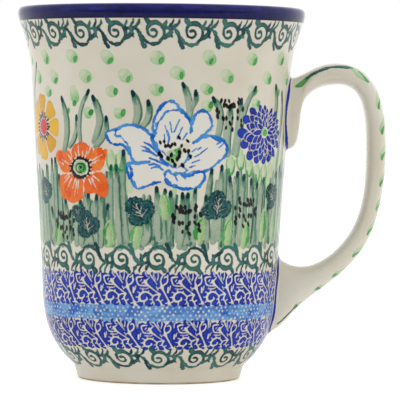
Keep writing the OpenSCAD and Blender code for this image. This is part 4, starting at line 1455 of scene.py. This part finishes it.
def make_handle():
    """The strap with its glaze, and the slip at both of its joints."""
    rings = seat(strap_rings(*handle_outline(), STRAP_AROUND, GLAZE_T), SUNK)
    canvas = StrapCanvas(rings)
    paint_strap(canvas)
    rows = len(rings)
    points = np.vstack([rings.reshape(-1, 3), rings[0].mean(0)[None], rings[-1].mean(0)[None]])
    faces = np.vstack([ring_faces(rows, STRAP_AROUND), end_caps(rows, STRAP_AROUND)])
    # The middles of the two end caps follow the grid's points, and carry no paint
    fields = {}
    for key, values in painted_fields(canvas).items():
        flat = values.reshape((-1,) + values.shape[2:])
        fields[key] = np.concatenate([flat, np.full((2,) + flat.shape[1:], FAR, np.float32)])
    piece = make_mesh("handle", points, faces, fields=fields)
    finish_piece(piece, PAINTED, "decorated_glaze", "handle", "handle_glaze")
    for name, k, step in (("upper_joint_slip", 0, 1), ("lower_joint_slip", rows - 1, -1)):
        make_slip(name, rings, k, step)


def make_slip(name, rings, k, step):
    """A fillet from the strap to the wall, with the painted line that follows the corner."""
    around = rings.shape[1]
    end = rings[k]
    middle = np.array([0, (end[:, 2].max() + end[:, 2].min()) / 2])
    away = end[:, 1:] - middle
    away /= np.linalg.norm(away, axis=1)[:, None]
    apart = np.linalg.norm(rings[k + step].mean(0) - end.mean(0))
    far = rings[k + step * int(round(1.5 * SLIP_W / apart))]

    def on_wall(spread, lift):
        yz = end[:, 1:] + away * spread
        r = radius_at(yz[:, 1]) + lift
        return np.stack([np.sqrt(r ** 2 - yz[:, 0] ** 2), yz[:, 0], yz[:, 1]], 1)
    corner, edge = on_wall(0, 0), on_wall(SLIP_W, 0.02)
    steps = 13
    t = np.linspace(0, 1, steps)[:, None, None]
    pull = 0.7 * corner + 0.15 * far + 0.15 * edge
    fillet = (1 - t) ** 2 * far + 2 * t * (1 - t) * pull + t * t * edge
    under = on_wall(SLIP_W, -SUNK)[None]
    root = on_wall(-0.3, -SUNK)[None]
    # The last ring lies just inside the strap, so that the fillet ends in it
    rows = np.concatenate([fillet, under, root, 0.98 * far[None] + 0.02 * far.mean(0)])
    count = len(rows)
    quads = ring_faces(count, around, close=True)
    if step > 0:
        quads = quads[:, ::-1]
    fields = {f"paint_{n}": np.full((count * around, 3), FAR, np.float32) for n in range(PAINT_LAYERS)}
    fields["tone"] = np.full(count * around, 0.8, np.float32)
    # The line lies along the fillet's middle and wanders a little to both sides
    along = np.concatenate([np.linspace(0, 1.9, steps), [FAR] * (count - steps)])[:, None]
    angle = 2 * np.pi * np.arange(around) / around
    wander = 1.05 + 0.18 * np.sin(3 * angle + k) + 0.1 * np.sin(7 * angle)
    line = np.abs(along - wander[None]) - (0.5 + 0.1 * np.sin(5 * angle + 1))[None]
    index = PIGMENTS.index("cobalt")
    fields[f"paint_{index // 3}"][:, index % 3] = line.ravel()
    piece = make_mesh(name, rows.reshape(-1, 3), quads, fields=fields)
    finish_piece(piece, PAINTED, "joining_slip", name)


for make in (make_vessel, make_inside, make_clay, make_base, make_handle):
    make()

# ---------------------------------------------------------------- stage, light and camera

# How bright the tent is towards the camera, around and above, and how much more on the right
FRONT_LIGHT, ROUND_LIGHT, RIGHT_LIGHT = 0.66, 1.12, 0.1


def make_stage():
    """A white floor. Its part far in front of the mug throws little light back, but looks white."""
    mesh = bpy.data.meshes.new("floor")
    half = 3.0
    mesh.from_pydata([(-half, -half, 0), (half, -half, 0), (half, half, 0), (-half, half, 0)], [],
                     [(0, 1, 2, 3)])
    floor = bpy.data.objects.new("floor", mesh)
    bpy.context.scene.collection.objects.link(floor)
    n = Surface("floor_white")
    seen = n.add("ShaderNodeLightPath").outputs["Is Camera Ray"]
    near = n.ramp(n.split(n.place)[1], -400, -250, 0.1, 0.95)
    n.set("Base Color", n.mix(seen, near, (0.95, 0.95, 0.95, 1)))
    n.set("Roughness", 0.95)
    n.set("Specular IOR Level", 0.0)
    n.set("Emission Color", WHITE)
    n.set("Emission Strength", n.ramp(seen, 0.0, 1.0, 0.12, 0.4))
    floor.data.materials.append(n.material)


def make_world():
    """A light tent: white all round, dimmer towards the camera's side."""
    world = bpy.data.worlds.new("studio")
    world.use_nodes = True
    n = Nodes(world.node_tree)
    background = n.tree.nodes["Background"]
    background.inputs["Color"].default_value = WHITE
    x, y, _ = n.split(n.add("ShaderNodeTexCoord").outputs["Generated"])
    front = n.ramp(y, -0.97, -0.6, FRONT_LIGHT, ROUND_LIGHT, soft=True)
    side = n.ramp(x, -1, 1, 1 - RIGHT_LIGHT, 1 + RIGHT_LIGHT)
    seen = n.add("ShaderNodeMix")
    n.link(n.add("ShaderNodeLightPath").outputs["Is Camera Ray"], seen.inputs["Factor"])
    n.link(n.math("MULTIPLY", front, side), seen.inputs["A"])
    seen.inputs["B"].default_value = 1.0
    n.link(seen.outputs["Result"], background.inputs["Strength"])
    bpy.context.scene.world = world


# The photo's viewpoint, in metres, and the degrees by which the photo is tilted
CAMERA_AT, CAMERA_TARGET, CAMERA_ROLL = (0.0, -0.956, 0.0865), (0.01295, 0.0, 0.05784), 0.49
LENS, SENSOR = 264.8, 36


def make_camera():
    data = bpy.data.cameras.new("camera")
    data.sensor_width, data.lens = SENSOR, LENS
    camera = bpy.data.objects.new("camera", data)
    camera.location = CAMERA_AT
    look = (Vector(CAMERA_TARGET) - camera.location).to_track_quat("-Z", "Y")
    camera.rotation_euler = (look @ Quaternion((0, 0, 1), math.radians(CAMERA_ROLL))).to_euler()
    bpy.context.scene.collection.objects.link(camera)
    bpy.context.scene.camera = camera


for make in (make_stage, make_world, make_camera):
    make()
bpy.context.scene.view_settings.view_transform = "Standard"
